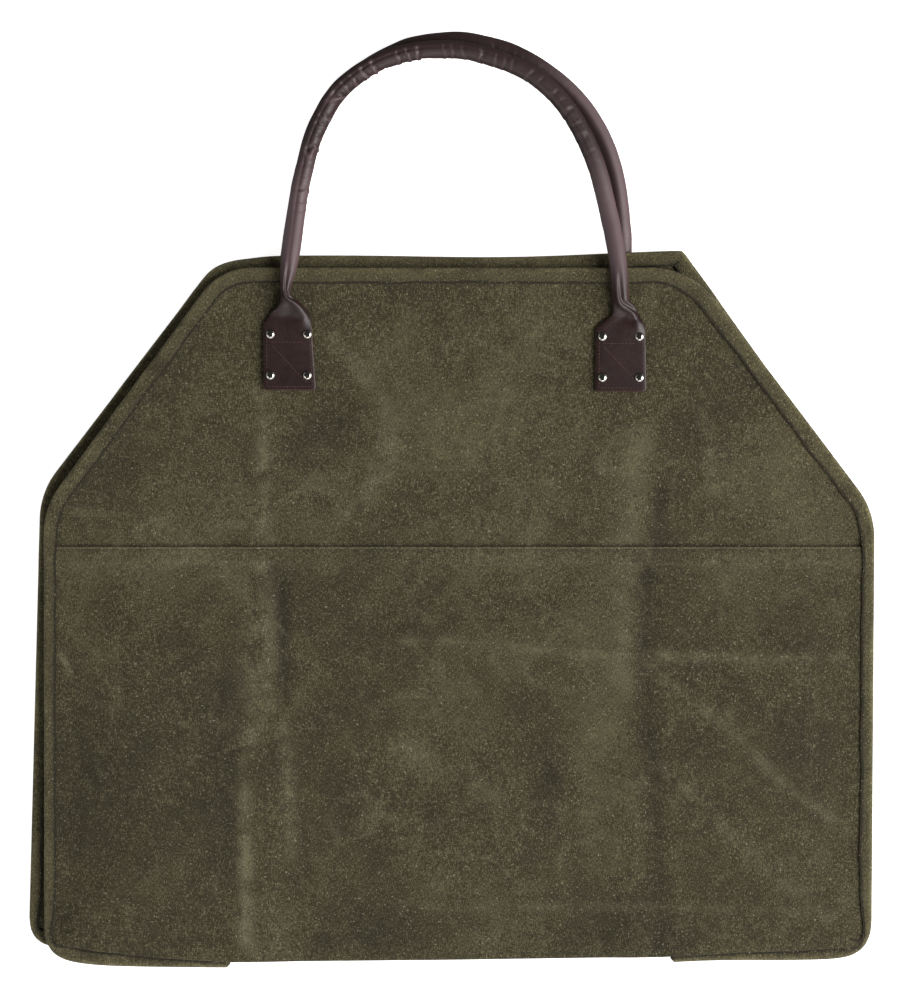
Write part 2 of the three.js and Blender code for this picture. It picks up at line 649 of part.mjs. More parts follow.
// A handle: flat tab, shoulders drawn in to a neck, rolled arch, and the same again at the other end
function handle(tabs, arch, heights) {
  const tabStations = tabs.map((tab, end) => {
    const neck = end === 0 ? arch[0] : arch.at(-1);
    return SHOULDERS.map(({ rise, width, wall }) => {
      const lean = Math.max(0, rise - TAB_LENGTH) / NECK_LENGTH;
      const z = THREE.MathUtils.lerp(heights.tab, heights.neck, lean);
      const place = new THREE.Vector3(THREE.MathUtils.lerp(tab.x, neck[0], lean), tab.y + rise, z);
      return { place, width, wall };
    });
  });
  const archPoints = arch.map(([x, y]) => new THREE.Vector3(x, y, 0));
  const curve = new THREE.CatmullRomCurve3(archPoints, false, 'centripetal');
  const archStations = curve.getSpacedPoints(ARCH_STEPS).map((place) => {
    const topOfNeck = Math.max(arch[0][1], arch.at(-1)[1]) + ROLL_EASE.start;
    const rolled = ease(topOfNeck, topOfNeck + ROLL_EASE.run, place.y);
    place.z = THREE.MathUtils.lerp(heights.neck, heights.arch, rolled);
    return { place, width: ROLL, wall: THREE.MathUtils.lerp(NECK_WALL, ROLL, rolled) };
  });
  const stations = [...tabStations[0], ...archStations, ...tabStations[1].reverse()];
  const rings = stations.map(({ place, width, wall }, k) => {
    const ahead = stations[Math.min(k + 1, stations.length - 1)].place;
    const behind = stations[Math.max(k - 1, 0)].place;
    const along = ahead.clone().sub(behind).setZ(0).normalize();
    const across = new THREE.Vector3(-along.y, along.x, 0);
    const square = width > ROLL ? TAB_SQUARENESS : 1;
    return Array.from({ length: SECTION_SIDES }, (_, side) => {
      const angle = (2 * Math.PI * (side + 0.5)) / SECTION_SIDES;
      const round = (value) => Math.sign(value) * Math.abs(value) ** square;
      return place.clone()
        .addScaledVector(across, (width / 2) * round(Math.cos(angle)))
        .addScaledVector(Z_AXIS, (wall / 2) * round(Math.sin(angle)));
    });
  });
  return punched(ringSolid(rings), tabs);
}

// Cap, shank and burr turned as one, from the burr up, zero at the inner face of the canvas
function rivetGeometry() {
  const grip = CLOTH + TAB_WALL + 2 * GAP;
  const profile = [
    [0, -GAP - RIVET_BURR], [RIVET_CAP, -GAP - RIVET_BURR], [RIVET_CAP, -GAP], [RIVET_SHANK, -GAP],
    [RIVET_SHANK, grip], [RIVET_CAP, grip], [0.7 * RIVET_CAP, grip + 0.75 * RIVET_DOME], [0, grip + RIVET_DOME],
  ].map(([radius, height]) => new THREE.Vector2(radius, height));
  const turned = new THREE.LatheGeometry(profile, RIVET_SIDES);
  turned.rotateX(Math.PI / 2);
  return fromManifold(toManifold(turned));
}

const canvas = { color: 0x4a4535, roughness: 0.8, metalness: 0 };
const tape = { color: 0x5c5843, roughness: 0.75, metalness: 0 };
const leather = { color: 0x3a2a28, roughness: 0.5, metalness: 0 };
const nickel = { color: 0xb8b6b0, roughness: 0.2, metalness: 1 };

const carrier = new THREE.Group();

function piece(name, geometry, finish) {
  const mesh = new THREE.Mesh(geometry, new THREE.MeshStandardMaterial(finish));
  mesh.name = name;
  carrier.add(mesh);
  return mesh;
}

const backUpperZ = (x, y) => backZ(x, y) + LAYER * (1 - ease(LAP_ROWS[2], LAP_ROWS[3], y));

const frontUpper = upperPanel(FRONT_OUTLINE, FRONT_SLOPE_ROWS, FRONT_SHARES, frontZ);
const backUpper = upperPanel(BACK_OUTLINE, BACK_SLOPE_ROWS, BACK_SHARES, backUpperZ);
piece('front_upper_panel', punched(frontUpper, FRONT_TABS), canvas);
piece('back_upper_panel', punched(backUpper, BACK_TABS), canvas);
piece('lower_wrap', lowerWrap(), canvas);
piece('left_end_gusset', endGusset(LEFT_FOLD_X), canvas);
piece('right_end_gusset', endGusset(RIGHT_FOLD_X), canvas);
piece('front_binding', frontBinding(), tape);
piece('back_binding', backBinding(), tape);
piece('left_base_binding', baseBinding(LEFT_LIP), tape);
piece('right_base_binding', baseBinding(RIGHT_LIP), tape);
piece('front_handle', handle(FRONT_TABS, FRONT_ARCH, FRONT_HEIGHTS), leather);
piece('back_handle', handle(BACK_TABS, BACK_ARCH, BACK_HEIGHTS), leather);

rivetPlaces(FRONT_TABS).forEach(({ x, y }, k) => {
  const rivet = piece(`front_rivet_${k + 1}`, rivetGeometry(), nickel);
  rivet.position.set(x, y, MOUTH_BED);
});
rivetPlaces(BACK_TABS).forEach(({ x, y }, k) => {
  const rivet = piece(`back_rivet_${k + 1}`, rivetGeometry(), nickel);
  rivet.position.set(x, y, TAB_LIFT + CLOTH);
  rivet.rotation.x = Math.PI;
});

export default carrier;
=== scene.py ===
"""Looks of a waxed canvas log carrier that lies folded flat on its back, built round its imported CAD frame.

Every shape is worked out in millimetres as whole numpy arrays, in the CAD's own axes (+X right, +Y to the
handles, +Z up), and put into its mesh in metres.
"""
from __future__ import annotations

import logging
import math
from dataclasses import dataclass, field
from enum import Enum
from typing import Any, Callable, Sequence

import bpy
import numpy as np
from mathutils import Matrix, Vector

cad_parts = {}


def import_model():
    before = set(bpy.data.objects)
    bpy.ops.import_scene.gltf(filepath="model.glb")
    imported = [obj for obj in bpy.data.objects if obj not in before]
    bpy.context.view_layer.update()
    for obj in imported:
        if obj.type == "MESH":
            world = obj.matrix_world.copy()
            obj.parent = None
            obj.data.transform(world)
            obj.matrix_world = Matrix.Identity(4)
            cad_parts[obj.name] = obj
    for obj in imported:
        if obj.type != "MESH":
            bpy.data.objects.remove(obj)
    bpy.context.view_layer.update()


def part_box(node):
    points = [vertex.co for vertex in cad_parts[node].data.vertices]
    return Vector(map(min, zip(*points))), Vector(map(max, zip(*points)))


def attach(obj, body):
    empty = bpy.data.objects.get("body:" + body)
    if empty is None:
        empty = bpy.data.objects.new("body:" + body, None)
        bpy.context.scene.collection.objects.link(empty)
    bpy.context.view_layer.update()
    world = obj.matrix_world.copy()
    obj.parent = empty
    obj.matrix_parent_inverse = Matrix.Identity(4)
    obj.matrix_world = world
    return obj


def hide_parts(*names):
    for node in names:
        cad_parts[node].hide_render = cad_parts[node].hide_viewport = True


LOG = logging.getLogger("log_carrier")
MM = 0.001
BODY = "root"

Array = np.ndarray
Point = tuple[float, float]


class Slot(Enum):
    """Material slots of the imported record."""

    CANVAS = "waxed_canvas"
    TAPE = "binding_tape"
    LEATHER = "leather"
    NICKEL = "nickel"


class Face(Enum):
    """The two faces of the carrier as it lies."""

    FRONT = "front"
    BACK = "back"


class Side(Enum):
    """Left and right as seen in the main view; the value is the sign of x."""

    LEFT = -1
    RIGHT = 1


# Curves and fields


def ease(low: float, high: float, value: Array | float) -> Array:
    """Smoothstep from 0 at low to 1 at high.

    Args:
        low: value where the step starts.
        high: value where it ends.
        value: where to read it.

    Returns:
        3t^2 - 2t^3, with t the clipped share of the way from low to high.
    """
    share = np.clip((np.asarray(value, float) - low) / (high - low), 0.0, 1.0)
    return share * share * (3.0 - 2.0 * share)


def hump(offset: Array, width: Array | float) -> Array:
    """A Gaussian bell of the given width: exp(-(offset / width)^2)."""
    return np.exp(-((offset / width) ** 2))


def lengths_along(points: Array) -> Array:
    """Distance run along a polyline at each of its points, by summing its steps."""
    steps = np.linalg.norm(np.diff(points, axis=0), axis=1)
    return np.concatenate([[0.0], np.cumsum(steps)])


def resample(points: Array, step: float) -> Array:
    """Points at an even spacing along a polyline.

    Args:
        points: polyline, one row a point.
        step: wanted spacing in millimetres.

    Returns:
        The polyline read by linear interpolation at equal shares of its length.
    """
    run = lengths_along(points)
    count = max(int(round(run[-1] / step)), 2) + 1
    at = np.linspace(0.0, run[-1], count)
    return np.stack([np.interp(at, run, points[:, k]) for k in range(points.shape[1])], axis=1)


def spline(points: Sequence[Sequence[float]], step: float) -> Array:
    """A smooth curve through a few points.

    Args:
        points: the points that it passes through.
        step: spacing of the result in millimetres.

    Returns:
        Catmull-Rom cubic through the points, each span weighted by the four points round it, evenly spaced.
    """
    knots = np.asarray(points, float)
    padded = np.vstack([2 * knots[0] - knots[1], knots, 2 * knots[-1] - knots[-2]])
    share = np.linspace(0.0, 1.0, 24, endpoint=False)[None, :, None]
    a, b, c, d = (padded[k:len(padded) - 3 + k, None, :] for k in range(4))
    cubic = b + 0.5 * share * (c - a + share * (2 * a - 5 * b + 4 * c - d + share * (3 * (b - c) + d - a)))
    return resample(np.vstack([cubic.reshape(-1, knots.shape[1]), knots[-1]]), step)


def tangents(points: Array) -> Array:
    """Unit directions along a polyline, by central differences."""
    along = np.gradient(points, axis=0)
    return along / np.maximum(np.linalg.norm(along, axis=1, keepdims=True), 1e-9)


def blurred(values: Array, radius: int) -> Array:
    """A row of values smoothed by a triangular window that keeps the end values."""
    window = np.concatenate([np.arange(1, radius + 2), np.arange(radius, 0, -1)]).astype(float)
    held = np.pad(values, radius, mode="edge")
    return np.convolve(held, window / window.sum(), mode="valid")


def distance_to(line: Array, x: Array, y: Array) -> Array:
    """Distance in the ground plane from each place to the nearest segment of a polyline.

    Args:
        line: polyline, one row a point.
        x: places across.
        y: places along.

    Returns:
        The least distance over all segments, each from the foot of the perpendicular clipped to the segment.
    """
    place = np.stack([x, y], axis=-1)
    best = np.full(x.shape, np.inf)
    for start, end in zip(line[:-1], line[1:]):
        along = end - start
        share = np.clip(((place - start) @ along) / max(along @ along, 1e-9), 0.0, 1.0)
        best = np.minimum(best, np.linalg.norm(place - start - share[..., None] * along, axis=-1))
    return best


@dataclass(frozen=True)
class Ripples:
    """A seeded field of soft waves: a sum of plane cosine waves of random heading, length and phase."""

    seed: int
    shortest: float
    longest: float
    count: int = 28

    def at(self, x: Array, y: Array) -> Array:
        """Height of the field at each place, between about -1 and 1."""
        draw = np.random.default_rng(self.seed)
        heading = draw.uniform(0.0, 2.0 * math.pi, self.count)
        length = np.exp(draw.uniform(math.log(self.shortest), math.log(self.longest), self.count))
        phase = draw.uniform(0.0, 2.0 * math.pi, self.count)
        total = np.zeros(np.broadcast(x, y).shape)
        for turn, wave, start in zip(heading, length, phase):
            total += np.cos(2.0 * math.pi * (x * math.cos(turn) + y * math.sin(turn)) / wave + start)
        return total / math.sqrt(self.count / 2.0) / 2.0


# Meshes


def grid_faces(rows: int, columns: int, around: bool = False) -> Array:
    """Quads over a grid of points stored row by row.

    Args:
        rows: rows of the grid.
        columns: points in a row.
        around: whether each row closes on itself.

    Returns:
        One row of four indices a quad.
    """
    i, j = np.meshgrid(np.arange(rows - 1), np.arange(columns if around else columns - 1), indexing="ij")
    after = (j + 1) % columns
    near, far = i * columns, (i + 1) * columns
    return np.stack([near + j, near + after, far + after, far + j], axis=-1).reshape(-1, 4)


@dataclass
class Shape:
    """Points, faces and point values of a mesh that is being put together."""

    points: Array = field(default_factory=lambda: np.zeros((0, 3)))
    faces: list[tuple[int, ...]] = field(default_factory=list)
    values: dict[str, Array] = field(default_factory=dict)

    def add(self, points: Array, faces: Array | list, **values: Array) -> "Shape":
        """Adds a block of points with its own faces and point values.

        Args:
            points: places in millimetres, any shape whose last axis is 3.
            faces: index rows into this block.
            values: one array a named point value; missing ones are 0.

        Returns:
            The shape itself.
        """
        block = np.asarray(points, float).reshape(-1, 3)
        start = len(self.points)
        self.points = np.vstack([self.points, block])
        self.faces += [tuple(int(k) + start for k in face) for face in np.asarray(faces).tolist()]
        for name in set(self.values) | set(values):
            old = self.values.get(name, np.zeros(start))
            new = np.asarray(values.get(name, np.zeros(len(block))), float).reshape(-1)
            self.values[name] = np.concatenate([old, new])
        return self

    def flipped(self) -> "Shape":
        """The same shape with its faces turned over."""
        self.faces = [face[::-1] for face in self.faces]
        return self

    def piece(self, name: str, slot: Slot, finish: "Finish", wall: float = 0.0) -> bpy.types.Object:
        """Makes the object, dressed, riding on the body.

        Args:
            name: the piece's name.
            slot: record slot of its finish; not used.
            finish: finish that dresses it.
            wall: thickness in millimetres to give a surface, half to each side, or 0 for a closed shape.

        Returns:
            The new object.
        """
        mesh = bpy.data.meshes.new(name)
        mesh.from_pydata((self.points * MM).tolist(), [], self.faces)
        for value_name, value in self.values.items():
            layer = mesh.attributes.new(value_name, "FLOAT", "POINT")
            layer.data.foreach_set("value", value.astype(np.float32))
        mesh.polygons.foreach_set("use_smooth", np.ones(len(mesh.polygons), bool))
        mesh.update()
        made = bpy.data.objects.new(name, mesh)
        bpy.context.scene.collection.objects.link(made)
        if wall > 0.0:
            thick = made.modifiers.new("wall", "SOLIDIFY")
            thick.thickness = wall * MM
            thick.offset = 0.0
        made.data.materials.append(finish.material())
        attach(made, BODY)
        LOG.info("%s: %d points, %d faces", name, len(self.points), len(self.faces))
        return made


# Finishes


def linear(code: str) -> tuple[float, float, float, float]:
    """Linear colour of an sRGB hex value.

    Args:
        code: six hex digits after a hash.

    Returns:
        Red, green and blue by the sRGB curve, and an alpha of 1.
    """
    levels = [int(code[k:k + 2], 16) / 255.0 for k in (1, 3, 5)]
    red, green, blue = (v / 12.92 if v <= 0.04045 else ((v + 0.055) / 1.055) ** 2.4 for v in levels)
    return red, green, blue, 1.0


def per_metre(size: float) -> float:
    """Texture scale that gives features of a size in millimetres on coordinates in metres."""
    return 1.0 / (size * MM)


def add(tree: bpy.types.NodeTree, kind: str, inputs: dict[Any, Any], **settings: Any) -> bpy.types.Node:
    """Adds a node, sets it up and links it.

    Args:
        tree: node tree of the material.
        kind: Blender's type name of the node.
        inputs: value or output socket for each input, by name or index.
        settings: properties of the node, set first.

    Returns:
        The new node.
    """
    node = tree.nodes.new(kind)
    for name, value in settings.items():
        setattr(node, name, value)
    for key, value in inputs.items():
        if isinstance(value, bpy.types.NodeSocket):
            tree.links.new(value, node.inputs[key])
        else:
            node.inputs[key].default_value = value
    return node


@dataclass(frozen=True)
class Finish:
    """A finish: its name, and what its subclass does to the shader."""

    name: str

    def material(self) -> bpy.types.Material:
        """The Blender material, made on first use."""
        found = bpy.data.materials.get(self.name)
        if found:
            return found
        made = bpy.data.materials.new(self.name)
        made.use_nodes = True
        self.dress(made.node_tree, made.node_tree.nodes["Principled BSDF"])
        return made

    def dress(self, tree: bpy.types.NodeTree, shader: bpy.types.Node) -> None:
        """Builds the nodes that give the finish; each finish has its own."""
        raise NotImplementedError


@dataclass(frozen=True)
class WaxedCanvas(Finish):
    """Cotton duck, woven and soaked in wax: dull olive, mottled, with pale bloom where it was folded, and
    with painted shade and a painted highlight laid on through its point values.
    """

    deep: str = "#2a2517"
    ground: str = "#413c27"
    worn: str = "#615b41"
    bloom: str = "#807a5f"
    rust: str = "#4a3626"
    lint: str = "#a09a80"
    cloud_size: float = 38.0
    stain_size: float = 16.0
    blotch_size: float = 9.0
    lint_size: float = 1.25
    speck_size: float = 0.6
    thread: float = 0.45
    slub: float = 1.9
    yarn_depth: float = 3.0

    def weave(self, tree: bpy.types.NodeTree, place: bpy.types.NodeSocket) -> bpy.types.NodeSocket:
        """The threads of warp and weft, with a fine speck between them.

        Args:
            tree: node tree of the material.
            place: coordinates in metres.

        Returns:
            A weighted sum of three noises: one stretched along the warp, one along the weft and one even.
        """
        # The real threads are about 0.5 mm apart, too fine to show whole, so they are drawn as short slubs
        parts = []
        for across, along, weight in ((self.thread, self.slub, 1.25), (self.slub, self.thread, 0.95)):
            run = add(tree, "ShaderNodeMapping", {
                "Vector": place, "Scale": (per_metre(across), per_metre(along), per_metre(self.yarn_depth))})
            yarn = add(tree, "ShaderNodeTexNoise", {
                "Vector": run.outputs["Vector"], "Scale": 1.0, "Detail": 1.0, "Roughness": 0.55})
            parts.append((yarn.outputs["Fac"], weight))
        speck = add(tree, "ShaderNodeTexNoise", {
            "Vector": place, "Scale": per_metre(self.speck_size), "Detail": 1.0})
        parts.append((speck.outputs["Fac"], 0.4))
        total: Any = 0.0
        for part, weight in parts:
            total = add(tree, "ShaderNodeMath", {0: part, 1: weight, 2: total},
                        operation="MULTIPLY_ADD").outputs[0]
        return total

    def dress(self, tree: bpy.types.NodeTree, shader: bpy.types.Node) -> None:
        """Sums mottling, tone (which holds painted shade) and weave to one level, lays the colours on and
        bumps the weave.
        """
        place = add(tree, "ShaderNodeTexCoord", {}).outputs["Object"]
        weave = self.weave(tree, place)
        noises = {}
        for name, size, detail, fading in (
            ("cloud", self.cloud_size, 5.0, 0.62),
            ("stain", self.stain_size, 5.0, 0.65),
            ("blotch", self.blotch_size, 3.0, 0.52),
            ("lint", self.lint_size, 0.0, 0.5),
        ):
            noises[name] = add(tree, "ShaderNodeTexNoise", {
                "Vector": place, "Scale": per_metre(size),
                "Detail": detail, "Roughness": fading}).outputs["Fac"]
        # The bloom value is mostly wax bloom, with a painted highlight on the lower panel's folded seam edge;
        # the tone value holds painted shade along creases, above the cross seam, at the tapes' inner edges
        # and on the lips under the bottom fold.
        bloom = add(tree, "ShaderNodeAttribute", {}, attribute_name="bloom").outputs["Fac"]
        level = add(tree, "ShaderNodeAttribute", {}, attribute_name="tone").outputs["Fac"]
        for part, weight in ((noises["cloud"], 1.5), (noises["blotch"], 0.95), (weave, 0.8)):
            level = add(tree, "ShaderNodeMath", {0: part, 1: weight, 2: level},
                        operation="MULTIPLY_ADD").outputs[0]
        shares = {}
        for name, value, start, end, low, high in (
            ("dark", level, 1.5, 2.4, 0.0, 1.0),
            ("light", level, 2.25, 3.22, 0.0, 1.0),
            ("brown", noises["stain"], 0.5, 0.72, 0.0, 0.22),
            ("raised", weave, 1.33, 1.75, 0.0, 0.78),
            ("sunk", weave, 1.25, 0.87, 0.0, 0.7),
            ("grain", weave, 1.05, 1.55, 0.25, 1.15),
            ("fleck", noises["lint"], 0.745, 0.83, 0.0, 0.6),
            ("rough", level, 1.5, 3.0, 0.66, 0.88),
        ):
            shares[name] = add(tree, "ShaderNodeMapRange", {
                "Value": value, "From Min": start, "From Max": end, "To Min": low, "To Max": high}).outputs[0]
        soaked = add(tree, "ShaderNodeMapRange", {
            "Value": shares["dark"], "To Min": 0.2, "To Max": 1.0}).outputs[0]
        raised = add(
            tree, "ShaderNodeMath", {0: shares["raised"], 1: soaked}, operation="MULTIPLY").outputs[0]
        pale = add(tree, "ShaderNodeMath", {0: bloom, 1: shares["grain"]},
                   operation="MULTIPLY", use_clamp=True).outputs[0]
        colour: Any = linear(self.deep)
        for share, tint in (
            (shares["dark"], self.ground),
            (shares["light"], self.worn),
            (shares["brown"], self.rust),
            (raised, self.bloom),
            (shares["sunk"], self.deep),
            (pale, self.bloom),
            (shares["fleck"], self.lint),
        ):
            colour = add(tree, "ShaderNodeMix", {0: share, 6: colour, 7: linear(tint)},
                         data_type="RGBA").outputs[2]
        tree.links.new(colour, shader.inputs["Base Color"])
        tree.links.new(shares["rough"], shader.inputs["Roughness"])
        crumple = add(tree, "ShaderNodeBump", {
            "Height": noises["blotch"], "Strength": 0.35, "Distance": 0.9 * MM}).outputs[0]
        bump = add(tree, "ShaderNodeBump", {
            "Height": weave, "Normal": crumple, "Strength": 0.8, "Distance": 0.5 * MM}).outputs[0]
        tree.links.new(bump, shader.inputs["Normal"])
        shader.inputs["Specular IOR Level"].default_value = 0.2
        shader.inputs["Sheen Weight"].default_value = 0.03
        shader.inputs["Sheen Roughness"].default_value = 0.6


@dataclass(frozen=True)
class BrownLeather(Finish):
    """Coated split leather, rolled and pressed: near-black brown, satin, pebbled, with red cut edges and a
    grey painted sheen, partly worn leather, on the roll.
    """

    skin: str = "#271816"
    lifted: str = "#301e1c"
    sheen_and_wear_grey: str = "#655255"
    cut_edge: str = "#54302a"
    cloud_size: float = 14.0
    wrinkle: float = 2.2
    pebble: float = 0.9

    def dress(self, tree: bpy.types.NodeTree, shader: bpy.types.Node) -> None:
        """Mixes two browns by a cloud, greys the roll (mostly painted sheen, partly worn leather), reddens
        the cut edges and bumps the pebble.
        """
        place = add(tree, "ShaderNodeTexCoord", {}).outputs["Object"]
        cloud = add(tree, "ShaderNodeTexNoise", {
            "Vector": place, "Scale": per_metre(self.cloud_size), "Detail": 4.0, "Roughness": 0.6})
        mottled = add(tree, "ShaderNodeMapRange", {
            "Value": cloud.outputs["Fac"], "From Min": 0.38, "From Max": 0.68}).outputs[0]
        # The share read here greys the roll: mostly a painted sheen standing in for the broad highlight of
        # the rolled grip, partly worn leather.
        rub = add(tree, "ShaderNodeAttribute", {}, attribute_name="rub").outputs["Fac"]
        cut = add(tree, "ShaderNodeAttribute", {}, attribute_name="cut").outputs["Fac"]
        colour: Any = linear(self.skin)
        for share, tint in ((mottled, self.lifted), (rub, self.sheen_and_wear_grey), (cut, self.cut_edge)):
            colour = add(tree, "ShaderNodeMix", {0: share, 6: colour, 7: linear(tint)},
                         data_type="RGBA").outputs[2]
        tree.links.new(colour, shader.inputs["Base Color"])
        grain = add(tree, "ShaderNodeTexVoronoi", {"Vector": place, "Scale": per_metre(self.pebble)},
                    feature="SMOOTH_F1").outputs["Distance"]
        fine = add(tree, "ShaderNodeTexNoise", {
            "Vector": place, "Scale": per_metre(self.wrinkle), "Detail": 3.0}).outputs["Fac"]
        soft = add(tree, "ShaderNodeBump", {
            "Height": fine, "Strength": 0.18, "Distance": 0.3 * MM}).outputs[0]
        bump = add(tree, "ShaderNodeBump", {
            "Height": grain, "Normal": soft, "Strength": 0.12, "Distance": 0.12 * MM}).outputs[0]
        tree.links.new(bump, shader.inputs["Normal"])
        rough = add(tree, "ShaderNodeMapRange", {
            "Value": fine, "From Min": 0.3, "From Max": 0.7, "To Min": 0.36, "To Max": 0.46}).outputs[0]
        rough = add(tree, "ShaderNodeMath", {0: rub, 1: 0.1, 2: rough}, operation="MULTIPLY_ADD").outputs[0]
        tree.links.new(rough, shader.inputs["Roughness"])
        shader.inputs["IOR"].default_value = 1.5
        shader.inputs["Specular IOR Level"].default_value = 0.45


@dataclass(frozen=True)
class PolishedNickel(Finish):
    """Nickel plate, pressed and barrel polished: a warm grey mirror with hairline scuffs."""

    metal: str = "#d3cfc6"
    scuff: float = 0.8

    def dress(self, tree: bpy.types.NodeTree, shader: bpy.types.Node) -> None:
        """Breaks the gloss up with a fine noise."""
        place = add(tree, "ShaderNodeTexCoord", {}).outputs["Object"]
        scuff = add(tree, "ShaderNodeTexNoise", {
            "Vector": place, "Scale": per_metre(self.scuff), "Detail": 3.0}).outputs["Fac"]
        rough = add(tree, "ShaderNodeMapRange", {
            "Value": scuff, "From Min": 0.35, "From Max": 0.7, "To Min": 0.07, "To Max": 0.2}).outputs[0]
        tree.links.new(rough, shader.inputs["Roughness"])
        shader.inputs["Base Color"].default_value = linear(self.metal)
        shader.inputs["Metallic"].default_value = 1.0


@dataclass(frozen=True)
class BondedThread(Finish):
    """Bonded polyester thread, twisted and waxed: a dull ply that lies in its own dents."""

    dye: str = "#4b4632"
    ply: float = 0.7
    shade: float = 0.45

    def dress(self, tree: bpy.types.NodeTree, shader: bpy.types.Node) -> None:
        """Shades the plies with a fine noise."""
        place = add(tree, "ShaderNodeTexCoord", {}).outputs["Object"]
        twist = add(tree, "ShaderNodeTexNoise", {"Vector": place, "Scale": per_metre(self.ply)})
        deep = tuple(self.shade * level for level in linear(self.dye)[:3]) + (1.0,)
        colour = add(tree, "ShaderNodeMix", {0: twist.outputs["Fac"], 6: deep, 7: linear(self.dye)},
                     data_type="RGBA").outputs[2]
        tree.links.new(colour, shader.inputs["Base Color"])
        shader.inputs["Roughness"].default_value = 0.7


@dataclass(frozen=True)
class StudioPaper(Finish):
    """Matt white background paper, lit from below as well, so that it stays white under the carrier."""

    white: str = "#f4f4f2"
    glow: float = 0.9
    tooth: float = 1.5

    def dress(self, tree: bpy.types.NodeTree, shader: bpy.types.Node) -> None:
        """Gives the paper a very fine tooth and a little light of its own."""
        place = add(tree, "ShaderNodeTexCoord", {}).outputs["Object"]
        tooth = add(tree, "ShaderNodeTexNoise", {
            "Vector": place, "Scale": per_metre(self.tooth)}).outputs["Fac"]
        bump = add(tree, "ShaderNodeBump", {
            "Height": tooth, "Strength": 0.05, "Distance": 0.1 * MM}).outputs[0]
        tree.links.new(bump, shader.inputs["Normal"])
        shader.inputs["Base Color"].default_value = linear(self.white)
        shader.inputs["Roughness"].default_value = 0.9
        shader.inputs["Emission Color"].default_value = linear("#ffffff")
        shader.inputs["Emission Strength"].default_value = self.glow


CANVAS = WaxedCanvas("waxed cotton duck")
TAPE = WaxedCanvas("waxed cotton binding", deep="#2a261b", ground="#47412d", worn="#625c43", bloom="#867f5b")
LEATHER = BrownLeather("coated split leather")
NICKEL = PolishedNickel("polished nickel plate")
OLIVE_THREAD = BondedThread("olive bonded thread")
BROWN_THREAD = BondedThread("brown bonded thread", dye="#6c4942")
# Near-black thread colour for the cross seam: painted shade of the needle holes, the real thread matching the
# cloth.
HOLE_SHADE_THREAD = BondedThread("needle hole shade thread", dye="#2a271b")
PAPER = StudioPaper("matt background paper")


# Layout shared by the pieces


@dataclass(frozen=True)
class Corner:
    """A corner of an outline, rounded by an arc."""

    x: float
    y: float
    radius: float

    def arc(self, before: Array, after: Array, steps: int = 24) -> Array:
        """Points of the arc that rounds the corner.

        Args:
            before: place that the outline comes from.
            after: place that it goes on to.
            steps: steps of the arc.

        Returns:
            The arc tangent to both straights, its centre on the inner side at the radius from both.
        """
        at = np.array([self.x, self.y])
        inward = (at - before) / np.linalg.norm(at - before)
        outward = (after - at) / np.linalg.norm(after - at)
        cross = inward[0] * outward[1] - inward[1] * outward[0]
        turn = math.atan2(cross, float(inward @ outward))
        start = at - inward * self.radius * math.tan(abs(turn) / 2)
        centre = start + np.array([-inward[1], inward[0]]) * self.radius * math.copysign(1.0, turn)
        angle = np.linspace(0.0, turn, steps + 1)
        spoke = start - centre
        return centre + np.stack([
            spoke[0] * np.cos(angle) - spoke[1] * np.sin(angle),
            spoke[0] * np.sin(angle) + spoke[1] * np.cos(angle)], axis=1)


@dataclass(frozen=True)
class PanelSide:
    """One side of a panel's outline: foot, shoulder and top corner, at the outer edge of its tape."""

    foot: Point
    shoulder: Corner
    top: Corner

    def x_at(self, y: Array) -> Array:
        """Where the straight side below the shoulder stands at each height."""
        share = (np.asarray(y, float) - self.foot[1]) / (self.shoulder.y - self.foot[1])
        return self.foot[0] + share * (self.shoulder.x - self.foot[0])

    def path(self, start_y: float, other: Corner) -> Array:
        """The side from a height up to where its top corner meets the mouth's straight edge."""
        foot = np.array([float(self.x_at(start_y)), start_y])
        shoulder = self.shoulder.arc(foot, np.array([self.top.x, self.top.y]))
        top = self.top.arc(np.array([self.shoulder.x, self.shoulder.y]), np.array([other.x, other.y]))
        return np.vstack([foot, shoulder, top])


@dataclass(frozen=True)
class Outline:
    """Outline of a bound panel."""

    left: PanelSide
    right: PanelSide

    def facing(self, side: Side) -> tuple[PanelSide, PanelSide]:
        """The side of that name, and the one across from it."""
        return (self.left, self.right) if side is Side.LEFT else (self.right, self.left)

    def edge(self, start_y: float, step: float) -> Array:
        """The bound edge from the left side at a height, over the mouth, down to the right side."""
        left = self.left.path(start_y, self.right.top)
        right = self.right.path(start_y, self.left.top)
        return resample(np.vstack([left, right[::-1]]), step)

    def rows(self, start_y: float, inset: float, rows: Array) -> tuple[Array, Array]:
        """Ends of rows laid from side to side.

        Args:
            start_y: height of the lowest row.
            inset: how far the cloth's edge lies inside the outline.
            rows: share of the way up the sides of each row.

        Returns:
            Left and right end of each row, at the same shares of the two sides' lengths.
        """
        ends = []
        for side, other, sign in ((self.left, self.right, 1.0), (self.right, self.left, -1.0)):
            dense = resample(side.path(start_y, other.top), 0.5)
            along = tangents(dense)
            dense = dense + inset * sign * np.stack([along[:, 1], -along[:, 0]], axis=1)
            run = lengths_along(dense)
            at = run[-1] * rows
            ends.append(np.stack([np.interp(at, run, dense[:, k]) for k in range(2)], axis=1))
        return ends[0], ends[1]


